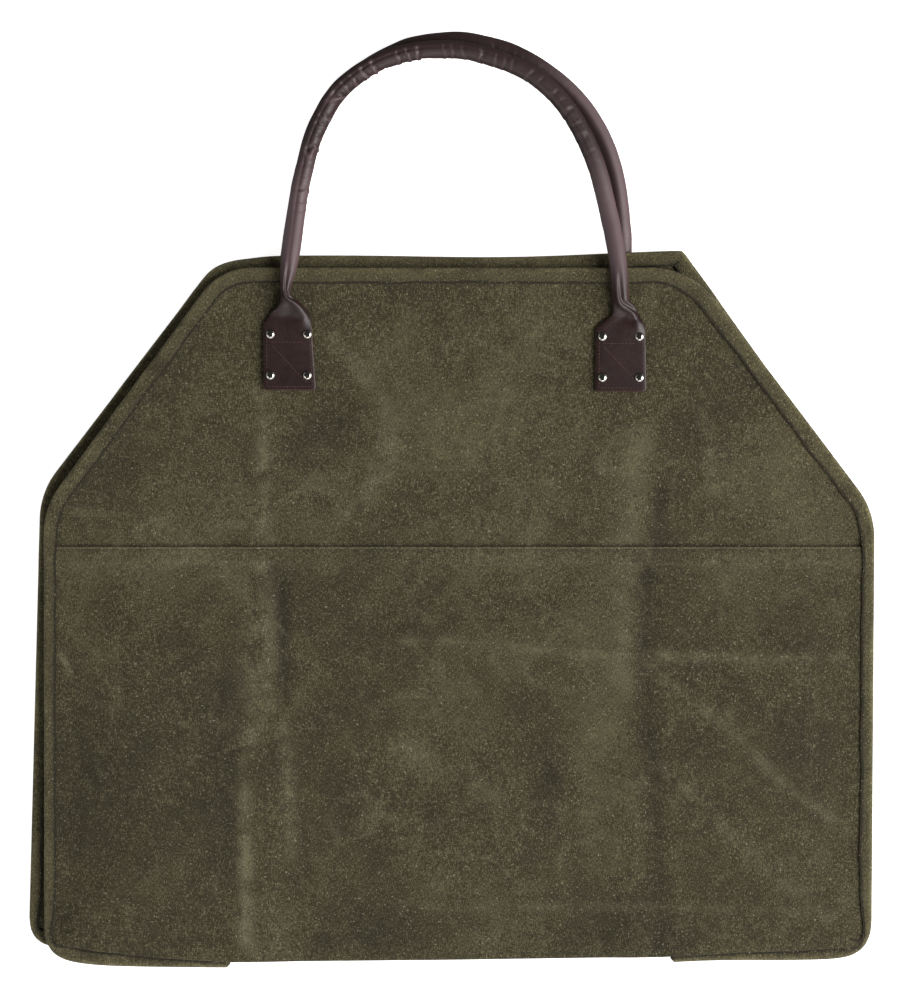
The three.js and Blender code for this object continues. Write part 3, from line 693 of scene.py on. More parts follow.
FRONT_OUTLINE = Outline(
    PanelSide((-269.0, -280.0), Corner(-269.3, -5.4, 53.0), Corner(-151.8, 153.0, 40.0)),
    PanelSide((277.5, -280.0), Corner(279.5, -7.4, 53.0), Corner(157.4, 153.0, 53.0)),
)
BACK_OUTLINE = Outline(
    PanelSide((-279.4, -276.0), Corner(-272.2, 5.1, 53.0), Corner(-153.0, 161.0, 34.0)),
    PanelSide((270.5, -276.0), Corner(274.9, -5.4, 53.0), Corner(152.6, 165.3, 4.0)),
)


MOUTH_Y = 156.0
BACK_LEFT_TURN = ((-258.0, -296.2), (-267.4, -294.6), (-272.2, -292.4), (-276.4, -288.2), (-278.6, -282.6),
                  (-279.4, -276.0))
BACK_RIGHT_TURN = ((270.5, -276.0), (269.8, -281.5), (266.0, -287.0), (260.0, -290.0))


def mouth_sag(x: Array) -> Array:
    """How far the back's mouth hangs: a wide bell right of the middle and a small one at the left."""
    return 3.1 * hump(x - 38.0, 85.0) + 2.2 * hump(x + 142.0, 16.0)


def back_edge(step: float) -> Array:
    """The back's bound edge: round its bottom left corner, up, over the mouth and down to the right one."""
    edge = BACK_OUTLINE.edge(BACK_OUTLINE.left.foot[1], step)
    edge[:, 1] -= mouth_sag(edge[:, 0]) * ease(MOUTH_Y - 21.0, MOUTH_Y, edge[:, 1])
    return np.vstack([spline(BACK_LEFT_TURN, 2.0)[:-1], edge, spline(BACK_RIGHT_TURN, 2.0)[1:]])


@dataclass(frozen=True)
class FootStation:
    """The bottom edge at one place across: the front's fold, the lip below it and the back's fold."""

    x: float
    fold: float
    lip: float
    back_fold: float


FOOT_LINE = (
    FootStation(-279, -270.0, -290.0, -284.0),
    FootStation(-268, -280.0, -297.0, -291.0),
    FootStation(-262, -293.2, -301.0, -294.0),
    FootStation(-235, -297.8, -307.6, -296.0),
    FootStation(-192, -302.4, -308.8, -297.0),
    FootStation(-146, -305.2, -309.3, -297.0),
    FootStation(0, -303.8, -307.0, -296.0),
    FootStation(138, -301.8, -305.4, -295.0),
    FootStation(190, -298.8, -304.4, -294.0),
    FootStation(230, -297.5, -304.4, -293.0),
    FootStation(269, -295.0, -300.0, -291.0),
    FootStation(276, -281.0, -294.0, -287.0),
    FootStation(280, -270.0, -290.0, -284.0),
)


def foot_line(column: str, x: Array) -> Array:
    """Height of one line of the bottom edge, straight between its stations."""
    return np.interp(x, [row.x for row in FOOT_LINE], [getattr(row, column) for row in FOOT_LINE])


@dataclass(frozen=True)
class Bell:
    """A soft bell over the front cloth: its middle, its reach both ways and what it adds at its middle."""

    x: float
    y: float
    across: float
    along: float
    amount: float

    def at(self, x: Array, y: Array) -> Array:
        """Amount times exp(-(dx / across)^2 - (dy / along)^2) at each place."""
        return self.amount * np.exp(-(((x - self.x) / self.across) ** 2) - ((y - self.y) / self.along) ** 2)


@dataclass(frozen=True)
class Crease:
    """A fold line pressed into the front cloth: its run, its rise, its bloom of wax and its tone, which
    paints shade on the dark side of a fold.
    """

    name: str
    run: tuple[Point, ...]
    width: float
    height: float
    bloom: float
    tone: float = 0.0

    def bell(self, x: Array, y: Array, share: float = 1.0) -> Array:
        """A bell across the line, a share of its width wide."""
        return hump(distance_to(np.array(self.run), x, y), share * self.width)


@dataclass(frozen=True)
class Layers:
    """Heights of the cloth layers above the ground, as the carrier lies: the CAD's stack and beds."""

    cloth: float = 1.0
    tape: float = 1.0
    gap: float = 0.35
    slack: float = 0.8
    tape_width: float = 10.0
    seam_y: float = -31.0
    lap: float = 9.0
    lap_ease: float = 6.0
    front_bed: float = 10.0
    base_bed: float = 6.8
    mouth_bed: float = 18.6
    mouth_ease_y: float = 69.0
    tab_lift: float = 5.1
    neck_lift: float = 9.5
    left_fold_x: float = -133.0
    right_fold_x: float = 129.0
    left_side_x: float = -269.0
    right_side_x: float = 277.5
    base_reach: float = 128.0
    corner_setback: float = 13.0
    gusset_top_y: float = 60.0
    back_tab_y: float = 82.0
    tab_length: float = 46.0

    def fold_x(self, side: Side) -> float:
        """Where an end's inner fold stands."""
        return self.left_fold_x if side is Side.LEFT else self.right_fold_x

    def side_x(self, side: Side) -> float:
        """Where a side of the front stands at the foot."""
        return self.left_side_x if side is Side.LEFT else self.right_side_x

    @property
    def layer(self) -> float:
        """One layer of cloth with its gap."""
        return self.cloth + self.gap

    @property
    def inset(self) -> float:
        """How far a cloth edge lies inside its tape's outer edge."""
        return self.tape + self.gap

    def level(self, place: int) -> float:
        """Underside of a layer in the stack of a bottom corner, counted from the ground."""
        return place * self.layer

    def wing(self, x: Array) -> Array:
        """1 in the folded ends, 0 in the middle of the width."""
        left = 1.0 - ease(self.left_fold_x + 8, self.left_fold_x + 34, x)
        right = ease(self.right_fold_x - 34, self.right_fold_x - 8, x)
        return np.maximum(left, right)

    def to_side(self, x: Array) -> Array:
        """Distance to the nearer side of the front."""
        return np.minimum(x - self.left_side_x, self.right_side_x - x)

    def beside_tape(self, x: Array) -> Array:
        """0 under the side tape, 1 where the folded corners lie."""
        return ease(self.corner_setback - 4, 20.0, self.to_side(x))

    def apex_y(self, x: Array) -> Array:
        """Top of the folded base, lower towards the sides along the 45 degree folds."""
        reach = np.clip(self.to_side(x) - self.corner_setback, 3.0, self.base_reach)
        return foot_line("fold", x) + reach

    def base_front(self, x: Array) -> Array:
        """Underside of the folded base's front half."""
        at_side = self.front_bed - self.layer - self.gap
        wing_level = at_side + (self.level(8) - at_side) * self.beside_tape(x)
        return self.base_bed + (wing_level - self.base_bed) * self.wing(x)

    def lap_at(self, y: Array) -> Array:
        """1 where the lower panel laps the upper one."""
        low = self.seam_y - self.lap
        rise = ease(low - self.lap_ease, low, y)
        return rise * (1.0 - ease(self.seam_y + 1, self.seam_y + 1 + self.lap_ease, y))

    def gusset_bound(self, y: Array) -> Array:
        """1 where an end's edge is bound in with the panel's edge."""
        return 1.0 - ease(self.gusset_top_y, self.gusset_top_y + 25, y)

    def mouth(self, y: Array) -> Array:
        """Bed of the front panel, rising to the mouth, which bridges the back handle's necks."""
        return self.front_bed + (self.mouth_bed - self.front_bed) * ease(self.seam_y, self.mouth_ease_y, y)

    def back(self, x: Array, y: Array) -> Array:
        """Underside of the back panel: on the ground, over its tape, and over its handle's tabs and necks."""
        edge = back_edge(6.0)
        tape = self.inset * (1.0 - ease(self.tape_width + 2, self.tape_width + 14, distance_to(edge, x, y)))
        shoulder = self.back_tab_y + self.tab_length
        on_tab = self.tab_lift * ease(self.back_tab_y - 24, self.back_tab_y - 3, y)
        on_neck = (self.neck_lift - self.tab_lift) * ease(shoulder - 4, shoulder + 10, y)
        return np.maximum(on_tab + on_neck, tape)


LAYERS = Layers()


@dataclass(frozen=True)
class FrontFace:
    """Relief, bloom and tone of the front, with painted shade on the dark sides of its creases, read at any
    place of it.
    """

    swells: tuple[Bell, ...] = (
        Bell(-205, -150, 55, 105, 3.5),
        Bell(205, -165, 55, 90, 4.0),
        Bell(10, -200, 95, 70, 3.0),
        Bell(0, 20, 80, 60, 2.5),
        Bell(205, 20, 45, 45, 3.0),
        Bell(-190, 15, 45, 45, 2.0),
    )
    creases: tuple[Crease, ...] = (
        Crease("left end fold, upper", ((-125, 72), (-124, 20), (-126, -26)), 8.0, 0.9, 0.5),
        Crease("left hip line", ((-248, -7), (-192, -13), (-133, -17)), 5.0, 0.4, 0.34),
        Crease("left end fold, shoulder",
               ((-133, -52), (-129, -75), (-129, -110), (-133, -150)), 19.0, 1.2, 0.46),
        Crease("left end fold, crest", ((-128, -44), (-125, -62), (-123, -90), (-123, -135)), 12.0, 0.8, 0.5),
        Crease("left end fold, sharp side",
               ((-118, -46), (-113, -60), (-111, -82), (-111, -130)), 5.0, -1.0, 0.0, -0.6),
        Crease("left end fold, lower", ((-131, -140), (-136, -190), (-136, -303)), 8.5, 0.9, 0.75),
        Crease("left end fold, dark side", ((-148, -128), (-146, -180), (-149, -240)), 15.0, -0.5, 0.0, -0.3),
        Crease("left inner streak", ((-111, -150), (-108, -171), (-106, -232)), 9.0, 0.5, 0.34),
        Crease("right end fold, light side", ((123, 40), (118, 0), (113, -70), (112, -118)), 17.0, 0.9, 0.3),
        Crease("right end fold, dark side",
               ((128, -48), (127, -108), (133, -190), (139, -303)), 8.0, -1.0, 0.0, -0.55),
        Crease("packing fold", ((-34, -93), (12, -94), (72, -101), (190, -104), (258, -105)), 5.2, 0.9, 0.38),
        Crease("packing fold, worn", ((88, -101), (118, -102), (160, -103)), 7.0, 0.4, 0.6),
        Crease("upper hip fold",
               ((126, -105), (150, -125), (181, -150), (222, -190), (262, -218)), 7.0, 1.2, 0.33),
        Crease("lower hip fold", ((134, -172), (165, -200), (200, -236), (250, -277)), 8.5, 0.7, 0.27),
        Crease("base fold", ((-36, -161), (-8, -177), (27, -196)), 14.0, 0.5, 0.3),
        Crease("lower packing fold", ((-34, -267), (60, -269), (124, -268), (258, -273)), 4.5, 0.3, 0.26),
        Crease("mouth dent", ((-77, 105), (-51, 73), (-37, 46), (-43, 22), (-70, -10)), 11.0, 0.8, 0.4),
        Crease("right upper streak", ((160, 66), (168, 40), (174, 10)), 10.0, 0.5, 0.32),
        Crease("right upper dark side", ((138, 10), (137, -8), (135, -28)), 6.0, -0.5, 0.0, -0.5),
        Crease("left cheek streak", ((-239, -92), (-225, -125)), 6.0, 0.3, 0.24),
        Crease("left scratch", ((-259, -102), (-255, -107), (-252, -114)), 3.8, -0.1, 0.9),
    )
    patches: tuple[Bell, ...] = (
        Bell(223, 20, 50, 45, 0.42),
        Bell(119, 26, 17, 28, 0.4),
        Bell(-80, 46, 24, 20, -0.4),
        Bell(101, -165, 20, 50, 0.5),
        Bell(64, -192, 15, 36, -0.5),
        Bell(-200, -195, 60, 70, -0.3),
        Bell(232, -157, 32, 24, -0.5),
        Bell(206, -136, 18, 14, -0.25),
        Bell(95, -85, 22, 26, 0.22),
        Bell(-15, 70, 95, 60, 0.2),
        Bell(-27, -168, 13, 9, 0.35),
        Bell(0, -275, 120, 30, -0.15),
        Bell(215, -75, 26, 24, -0.3),
        Bell(-235, -55, 40, 30, 0.15),
    )
    tabs: tuple[Point, ...] = ((-107.0, 73.0), (111.5, 71.5))
    waves: Ripples = Ripples(11, 30.0, 110.0)
    crumples: Ripples = Ripples(29, 9.0, 26.0)
    fading: Ripples = Ripples(5, 40.0, 120.0)
    breaks: Ripples = Ripples(7, 8.0, 60.0)
    veins: Ripples = Ripples(17, 35.0, 140.0)
    shades: Ripples = Ripples(13, 60.0, 240.0)
    wave_rise: float = 0.55
    crumple_rise: float = 0.16
    corner_rise: float = 2.5
    held_to: float = 14.0
    free_from: float = 48.0
    bloom_width: float = 0.55
    vein_width: float = 0.035
    vein_bloom: float = 0.28
    shade: float = 0.16

    def on_tabs(self, x: Array, y: Array) -> Array:
        """1 under a handle's tab, where the cloth lies flat."""
        held = np.zeros(np.shape(x))
        for tab_x, tab_y in self.tabs:
            beside = 1.0 - ease(34.0, 60.0, np.abs(x - tab_x))
            held = np.maximum(held, beside * ease(tab_y - 26, tab_y - 4, y))
        return held

    def soft(self, x: Array, y: Array) -> Array:
        """How free the cloth is to rise: 0 at the tape and under the tabs, 1 in the open."""
        edge = FRONT_OUTLINE.edge(-320.0, 6.0)
        return ease(self.held_to, self.free_from, distance_to(edge, x, y)) * (1.0 - self.on_tabs(x, y))

    def height(self, x: Array, y: Array) -> Array:
        """Underside of the front cloth.

        Args:
            x: places across.
            y: places along.

        Returns:
            The bed, raised over the folded corners, and where the cloth is free the bells, the creases
            (bells across a line, faded by waves) and two sizes of ripple.
        """
        apex = LAYERS.apex_y(x)
        corner = LAYERS.wing(x) * LAYERS.beside_tape(x) * (1.0 - ease(apex + 8, apex + 45, y))
        rise = np.zeros(np.shape(x))
        for swell in self.swells:
            rise = rise + swell.at(x, y)
        fade = 0.8 + 0.4 * self.fading.at(x, y)
        for crease in self.creases:
            rise = rise + crease.height * fade * crease.bell(x, y)
        rise = rise + self.wave_rise * self.waves.at(x, y) + self.crumple_rise * self.crumples.at(x, y)
        return LAYERS.mouth(y) + self.corner_rise * corner + self.soft(x, y) * rise

    def bloom(self, x: Array, y: Array) -> Array:
        """Share of pale bloom: a narrow bell on each crease, broken by ripples, and faint veins between."""
        broken = np.clip(0.75 + 0.8 * self.breaks.at(x, y), 0.1, 1.3)
        total = np.zeros(np.shape(x))
        for crease in self.creases:
            total = np.maximum(total, crease.bloom * crease.bell(x, y, self.bloom_width))
        veins = hump(self.veins.at(x, y), self.vein_width) * self.vein_bloom
        return np.clip(np.maximum(total * broken, veins * self.soft(x, y)), 0.0, 1.0)

    def tone(self, x: Array, y: Array) -> Array:
        """Lighter or darker colour: soft patches, painted shade on the dark sides of creases, and broad
        ripples.
        """
        total = self.shade * self.shades.at(x, y)
        for patch in self.patches:
            total = total + patch.at(x, y)
        # Painted shade along the dark sides of the folds.
        for crease in self.creases:
            if crease.tone:
                total = total + crease.tone * crease.bell(x, y)
        return total


FRONT = FrontFace()


# Cloth


@dataclass(frozen=True)
class Cut:
    """Flat size of a sheet before it is sewn and folded, in millimetres, and its area in square metres."""

    width: float
    length: float
    area: float

    def lay(self, piece: bpy.types.Object, held: str, bound_by: Sequence[bpy.types.Object]) -> None:
        list(bound_by)


@dataclass
class UpperPanel:
    """A canvas panel between the cross seam and the mouth."""

    face: Face
    cut: Cut
    column: float = 3.2
    step: float = 2.8
    length: float = 215.0

    def build(self) -> bpy.types.Object:
        """Lays rows between the outline's two sides and lifts them to the panel's height."""
        outline = FRONT_OUTLINE if self.face is Face.FRONT else BACK_OUTLINE
        by_seam = np.concatenate([[0.0, 4.0, 7.0], np.arange(8.0, 13.0, 0.5)]) / self.length
        above = np.linspace(14.0 / self.length, 1.0, int(self.length / self.step))
        share_up = np.concatenate([by_seam, above])
        left, right = outline.rows(LAYERS.seam_y - LAYERS.lap, LAYERS.inset, share_up)
        columns = int(round((right[0, 0] - left[0, 0]) / self.column)) + 1
        share = np.linspace(0.0, 1.0, columns)[None, :]
        x = left[:, :1] + share * (right[:, :1] - left[:, :1])
        y = left[:, 1:] + share * (right[:, 1:] - left[:, 1:])
        if self.face is Face.FRONT:
            under = FRONT.height(x, y)
            # Painted shadow in the narrow gap just above the lower panel's folded edge.
            seam_gap_shadow = hump(y - LAYERS.seam_y - 0.7, 1.2)
            values = {"tone": FRONT.tone(x, y) - 0.8 * seam_gap_shadow, "bloom": FRONT.bloom(x, y)}
        else:
            y = y - mouth_sag(x) * ease(MOUTH_Y - 66.0, MOUTH_Y, y)
            low = LAYERS.seam_y + 1
            under = LAYERS.back(x, y) + LAYERS.layer * (1.0 - ease(low, low + LAYERS.lap_ease, y))
            values = {"tone": FRONT.shade * Ripples(43, 60.0, 240.0).at(x, y)}
        points = np.stack([x, y, under + LAYERS.cloth / 2], axis=-1)
        shape = Shape().add(points, grid_faces(len(share_up), columns), **values)
        name = f"{self.face.value}_upper_panel"
        made = shape.piece(f"{name}_canvas", Slot.CANVAS, CANVAS, LAYERS.cloth)
        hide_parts(name)
        return made


@dataclass
class LowerWrap:
    """One length of canvas: front below the cross seam, base folded up inside, and back."""

    cut: Cut
    column: float = 3.2
    front_step: float = 3.2
    front_length: float = 262.0
    foot_y: float = -280.0
    turn: float = 6.0
    clear: float = 3.0
    turn_steps: int = 12
    back_turn_steps: int = 6
    base_steps: int = 26
    back_steps: int = 60
    flap_rows: int = 24
    flap_columns: int = 40
    flap_setback: float = 26.0
    flap_places: tuple[int, ...] = (6, 3)

    def column_sides(self, y: Array | float) -> tuple[Array, Array]:
        """Where the cloth's left and right edges stand on the front at each height."""
        return FRONT_OUTLINE.left.x_at(y) + LAYERS.inset, FRONT_OUTLINE.right.x_at(y) - LAYERS.inset

    def back_sides(self, y: Array | float) -> tuple[Array, Array]:
        """Where the cloth's left and right edges stand on the back at each height."""
        return BACK_OUTLINE.left.x_at(y) + LAYERS.inset, BACK_OUTLINE.right.x_at(y) - LAYERS.inset

    def fold(self, x: Array, start_y: Array, end_y: Array, top: Array, bottom: Array, steps: int) -> Array:
        """A turn of the cloth at the bottom edge.

        Args:
            x: place across of each column.
            start_y: where the turn starts.
            end_y: its outermost place.
            top: height where the turn starts, middle of the cloth.
            bottom: height where it ends.
            steps: steps of the turn.

        Returns:
            Half an ellipse from top to bottom, its reach half the difference of the heights, one row a step.
        """
        angle = np.linspace(0.0, math.pi, steps + 1)[1:-1, None]
        reach = np.abs(top - bottom) / 2
        way = np.sign(end_y - start_y)
        around_y = start_y + way * (np.abs(end_y - start_y) - reach * (1 - np.sin(angle)))
        around_z = (top + bottom) / 2 + (top - bottom) / 2 * np.cos(angle)
        return np.stack([np.broadcast_to(x, around_y.shape), around_y, around_z], axis=-1)

    def build(self) -> bpy.types.Object:
        """Runs each column down the front, round the fold, up and down the base, and up the back."""
        left, right = self.column_sides(self.foot_y)
        columns = int(round((right - left) / self.column)) + 1
        share = np.linspace(0.0, 1.0, columns)
        foot_x = left + share * (right - left)
        fold_y = foot_line("fold", foot_x)
        back_left, back_right = self.back_sides(self.foot_y)
        back_foot_x = back_left + share * (back_right - back_left)
        back_fold = foot_line("back_fold", back_foot_x)
        front = self.front_rows(share, fold_y)
        base = self.base_rows(foot_x, fold_y, back_foot_x, back_fold)
        points = np.concatenate([front, base, self.back_rows(share, back_fold)])
        on_front = (np.arange(len(points)) < len(front)).astype(float)[:, None]
        x, y = points[..., 0], points[..., 1]
        bloom = FRONT.bloom(x, y) + self.edge_wear_and_highlight(x, y)
        shape = Shape().add(points, grid_faces(len(points), columns),
                            tone=FRONT.tone(x, y) * on_front, bloom=bloom * on_front)
        for side in Side:
            for place in self.flap_places:
                self.corner_flap(shape, side, LAYERS.level(place) + LAYERS.cloth / 2)
        made = shape.piece("lower_wrap_canvas", Slot.CANVAS, CANVAS, LAYERS.cloth)
        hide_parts("lower_wrap")
        return made

    def edge_wear_and_highlight(self, x: Array, y: Array) -> Array:
        """Pale worn cloth along the folded bottom edge and on the lap below the seam, and a painted highlight
        on the folded seam edge.
        """
        foot = 0.3 * (1.0 - ease(0.0, 5.0, y - foot_line("fold", x)))
        below = LAYERS.seam_y - y
        # The narrow bell just below the seam line is a painted highlight on the folded edge.
        return foot + 0.62 * hump(below - 0.45, 0.55) + 0.11 * hump(below - 7.0, 6.0)

    def front_rows(self, share: Array, fold_y: Array) -> Array:
        """The front from its folded seam edge to just above the bottom fold, one row a step."""
        by_seam = [0.0, 0.35, 0.7, 1.2, 1.7, 2.3, 3.0, 4.0, 5.5, 7.0, 8.0, 9.0, 10.0, 11.5]
        rest = np.arange(13.0, self.front_length, self.front_step)
        steps = (np.concatenate([by_seam, rest]) / self.front_length)[:, None]
        y = LAYERS.seam_y + steps * (fold_y + self.turn - LAYERS.seam_y)
        left, right = self.column_sides(y)
        x = left + share * (right - left)
        lapped = LAYERS.layer * LAYERS.lap_at(y) + 0.25 * hump(y - LAYERS.seam_y + LAYERS.lap, 1.5)
        below = LAYERS.seam_y - y
        dent = -0.3 * hump(below - 1.9, 0.8) - 0.45 * (1.0 - ease(0.0, 0.9, below))
        z = FRONT.height(x, y) + lapped + dent + LAYERS.cloth / 2
        return np.stack([x, y, z], axis=-1)

    def base_rows(self, x: Array, fold_y: Array, back_x: Array, back_fold: Array) -> Array:
        """The bottom fold, the base's two halves folded up inside and the back fold."""
        half = LAYERS.cloth / 2
        front_z = FRONT.height(x, fold_y + self.turn) + half
        base_z = LAYERS.base_front(x) + half
        apex = np.minimum(LAYERS.apex_y(x), fold_y + LAYERS.base_reach) - 2.0
        back_z = LAYERS.back(back_x, back_fold + self.turn) + half
        base_back_z = back_z + LAYERS.layer
        turn = self.fold(x, fold_y + self.turn, fold_y + half, front_z, base_z, self.turn_steps)
        up = np.linspace(0.0, 1.0, self.base_steps)[:, None]
        down = up[::-1]
        up_y = fold_y + self.clear + up * (apex - fold_y - 2 * self.clear)
        down_y = back_fold + self.clear + down * (apex - back_fold - 2 * self.clear)
        down_x = back_x + down * (x - back_x)
        rising = np.stack(
            [np.broadcast_to(x, up_y.shape), up_y, np.broadcast_to(base_z, up_y.shape)], axis=-1)
        falling = np.stack([down_x, down_y, np.broadcast_to(base_back_z, down_y.shape)], axis=-1)
        top = np.stack([x, apex, (base_z + base_back_z) / 2], axis=-1)[None]
        back_turn = self.fold(back_x, back_fold + self.turn, back_fold + half, base_back_z, back_z,
                              self.back_turn_steps)
        return np.concatenate([turn, rising, top, falling, back_turn])

    def back_rows(self, share: Array, back_fold: Array) -> Array:
        """The back from the bottom fold up to its folded seam edge."""
        steps = np.linspace(0.0, 1.0, self.back_steps)[:, None]
        y = back_fold + self.turn + steps * (LAYERS.seam_y - back_fold - self.turn)
        left, right = self.back_sides(y)
        x = left + share * (right - left)
        return np.stack([x, y, LAYERS.back(x, y) + LAYERS.cloth / 2], axis=-1)

    def corner_flap(self, shape: Shape, side: Side, level: float) -> None:
        """Adds a corner of the base folded back at 45 degrees, from the lip up to the fold line."""
        outer = LAYERS.side_x(side) - side.value * self.flap_setback
        x = np.linspace(outer, LAYERS.fold_x(side), self.flap_columns)[None, :]
        fold, lip = foot_line("fold", x), foot_line("lip", x)
        past_lip = 1.0 - ease(146.0, 152.0, np.abs(x))
        low = lip + 2.2 + past_lip * (fold - lip + self.clear)
        high = np.minimum(LAYERS.apex_y(x), fold + LAYERS.base_reach) - self.clear
        y = low + np.linspace(0.0, 1.0, self.flap_rows)[:, None] * (high - low)
        points = np.stack([np.broadcast_to(x, y.shape), y, np.full(y.shape, level)], axis=-1)
        shape.add(points, grid_faces(self.flap_rows, self.flap_columns))


@dataclass
class EndGusset:
    """An end of the carrier, folded inward as a V between front and back."""

    side: Side
    cut: Cut
    rows: int = 60
    across: int = 30
    foot_y: float = -283.0
    path_from: float = -300.0
    fold_room: float = 1.0
    fold_drop: float = 0.15
    bound_over: float = 26.0
    mouth_lift: float = 2.0

    def build(self) -> bpy.types.Object:
        """Runs each row from the front's edge in to the fold and out to the back's edge."""
        inward = -float(self.side.value)
        half = LAYERS.cloth / 2
        y = np.linspace(self.foot_y, LAYERS.gusset_top_y, self.rows)[:, None]
        edges = []
        for outline in (FRONT_OUTLINE, BACK_OUTLINE):
            here, across = outline.facing(self.side)
            path = here.path(self.path_from, across.top)
            edges.append(np.interp(y, path[:, 1], path[:, 0]) + inward * LAYERS.inset)
        front_x, back_x = edges
        fold_x = LAYERS.fold_x(self.side)
        to_fold = fold_x - inward * self.fold_room
        share = np.linspace(0.0, 1.0, self.across)[None, :]
        ahead_x = front_x + share * (to_fold - front_x)
        behind_x = to_fold + share * (back_x - to_fold)
        full_y = np.broadcast_to(y, ahead_x.shape)
        lift = ease(0.0, 60.0, y) * self.mouth_lift
        ahead_bed = LAYERS.level(5) + lift
        behind_bed = LAYERS.level(4) + lift
        bound = 1.0 - ease(0.0, self.bound_over, np.abs(ahead_x - front_x))
        ahead_z = ahead_bed + bound * (FRONT.height(ahead_x, full_y) - LAYERS.layer - ahead_bed)
        bound = 1.0 - ease(0.0, self.bound_over, np.abs(behind_x - back_x))
        behind_z = behind_bed + bound * (LAYERS.back(behind_x, full_y) + LAYERS.layer - behind_bed)
        fold_z = ahead_bed - self.fold_drop + half - LAYERS.layer / 2
        points = np.concatenate([
            np.stack([ahead_x, full_y, ahead_z + half], axis=-1),
            np.stack([np.full(y.shape, fold_x), y, fold_z], axis=-1),
            np.stack([behind_x, full_y, behind_z + half], axis=-1)], axis=1)
        shape = Shape().add(points, grid_faces(self.rows, points.shape[1]))
        name = f"{self.side.name.lower()}_end_gusset"
        made = shape.piece(f"{name}_canvas", Slot.CANVAS, CANVAS, LAYERS.cloth)
        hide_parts(name)
        return made


# Tape


@dataclass
class Binding:
    """A tape folded round a cloth edge, as a U seen end-on, swept along the edge."""

    name: str
    path: Array
    top: Callable[[Array, Array], Array]
    bottom: Callable[[Array, Array], Array]
    seed: int
    nose: float = 2.6
    wall: float = 0.9
    corner: float = 2.4
    width: float = 10.6
    wander: float = 0.55
    pull: float = 0.12
    tone: float = 0.22
    # The next two are painted shadows: along the upper flange's inner edge, and on the lips under the front's
    # fold.
    inner_edge_shadow: float = -3.4
    fold_shadow: float = -2.2

    def profile(self) -> tuple[Array, Array, Array]:
        """Once round the U: distance in at the nose, share of the flange and share from top to bottom."""
        flat = 1.0 - np.array([0.0, 0.05, 0.1, 0.16, 0.25, 0.4, 0.6, 0.8, 1.0])
        angle = np.linspace(0.0, math.pi, 11)[1:-1]
        turn = self.nose - (self.nose - self.wall / 2) * np.sin(angle)
        start = np.concatenate([np.full(len(flat), self.nose), turn, np.full(len(flat), self.nose)])
        flange = np.concatenate([flat, np.zeros(len(turn)), flat[::-1]])
        share = np.concatenate([np.zeros(len(flat)), (1.0 - np.cos(angle)) / 2, np.ones(len(flat))])
        return start, flange, share

    def widths(self) -> Array:
        """Width that shows at each station: less on the sides, where more tape goes round the thick seam."""
        y = self.path[:, 1]
        upright = ease(0.6, 0.95, np.abs(tangents(self.path)[:, 1]))
        lost = 2.4 * (1.0 - ease(-45.0, 5.0, y)) + 3.6 * (1.0 - ease(-296.0, -258.0, y))
        return self.width - upright * lost

    def inward(self) -> Array:
        """Unit directions into the cloth at each station of the path."""
        along = tangents(self.path)
        return np.stack([along[:, 1], -along[:, 0]], axis=1)

    def build(self, *replaced: str) -> bpy.types.Object:
        """Sweeps the U along the path, each flange on its own height field, its inner edge wandering."""
        start, flange, share = self.profile()
        run = lengths_along(self.path)
        still = np.zeros(len(run))
        wander = self.wander * Ripples(self.seed, 18.0, 70.0).at(run, still)
        wide = (self.widths() - self.nose + wander)[:, None]
        by_end = np.clip(self.corner - np.minimum(run, run[-1] - run), 0.0, self.corner)
        rounded = self.corner - np.sqrt(self.corner ** 2 - by_end ** 2)
        reach = start[None, :] + wide * flange[None, :] + rounded[:, None]
        place = self.path[:, None, :] + reach[..., None] * self.inward()[:, None, :]
        x, y = place[..., 0], place[..., 1]
        upper = self.top(x, y) + self.wall / 2
        lower = self.bottom(x, y) - self.wall / 2
        pull = self.pull * Ripples(self.seed + 1, 6.0, 14.0).at(run, still)
        edge = (pull[:, None] * (flange > 0.0)[None, :]) * np.where(share < 0.5, 1.0, -1.0)[None, :]
        z = upper + share[None, :] * (lower - upper) + np.maximum(edge, -0.1)
        tone = self.tone + 0.15 * Ripples(self.seed + 2, 12.0, 80.0).at(x, y)
        # Painted shadow on the lip just under the front's bottom fold.
        tone = tone + self.fold_shadow * hump(y - foot_line("fold", x) - 0.4, 1.6) * (y < -286.0)
        from_inner = wide * (1.0 - flange[None, :])
        # Painted shadow along the inner edge of the upper flange.
        tone = tone + self.inner_edge_shadow * hump(from_inner - 0.2, 0.95) * (share < 0.5)[None, :]
        nose_wear = hump(reach - 1.0, 1.6) * (0.55 + 0.5 * Ripples(3, 10.0, 50.0).at(x, y))
        shape = Shape().add(np.stack([x, y, z], axis=-1), grid_faces(len(self.path), len(share)),
                            tone=tone, bloom=np.clip(0.6 * nose_wear, 0.0, 1.0))
        made = shape.piece(self.name, Slot.TAPE, TAPE, self.wall)
        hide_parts(*replaced)
        return made

    def stitch_line(self, inset: float, face: Face) -> Array:
        """The line of a stitch row, in space, on the outside of one flange, a share of its width in."""
        line = self.path + inset * self.widths()[:, None] * self.inward()
        x, y = line[:, 0], line[:, 1]
        z = self.top(x, y) + self.wall if face is Face.FRONT else self.bottom(x, y) - self.wall
        return np.column_stack([line, z])


def front_tape_top(x: Array, y: Array) -> Array:
    """Underside of the front tape's upper flange."""
    return FRONT.height(x, y) + LAYERS.cloth + 0.3 + LAYERS.layer * LAYERS.lap_at(y)


def front_tape_bottom(x: Array, y: Array) -> Array:
    """Upper face of the front tape's lower flange, under the panel and the end's edge."""
    return FRONT.height(x, y) - LAYERS.gap - LAYERS.layer * LAYERS.gusset_bound(y)


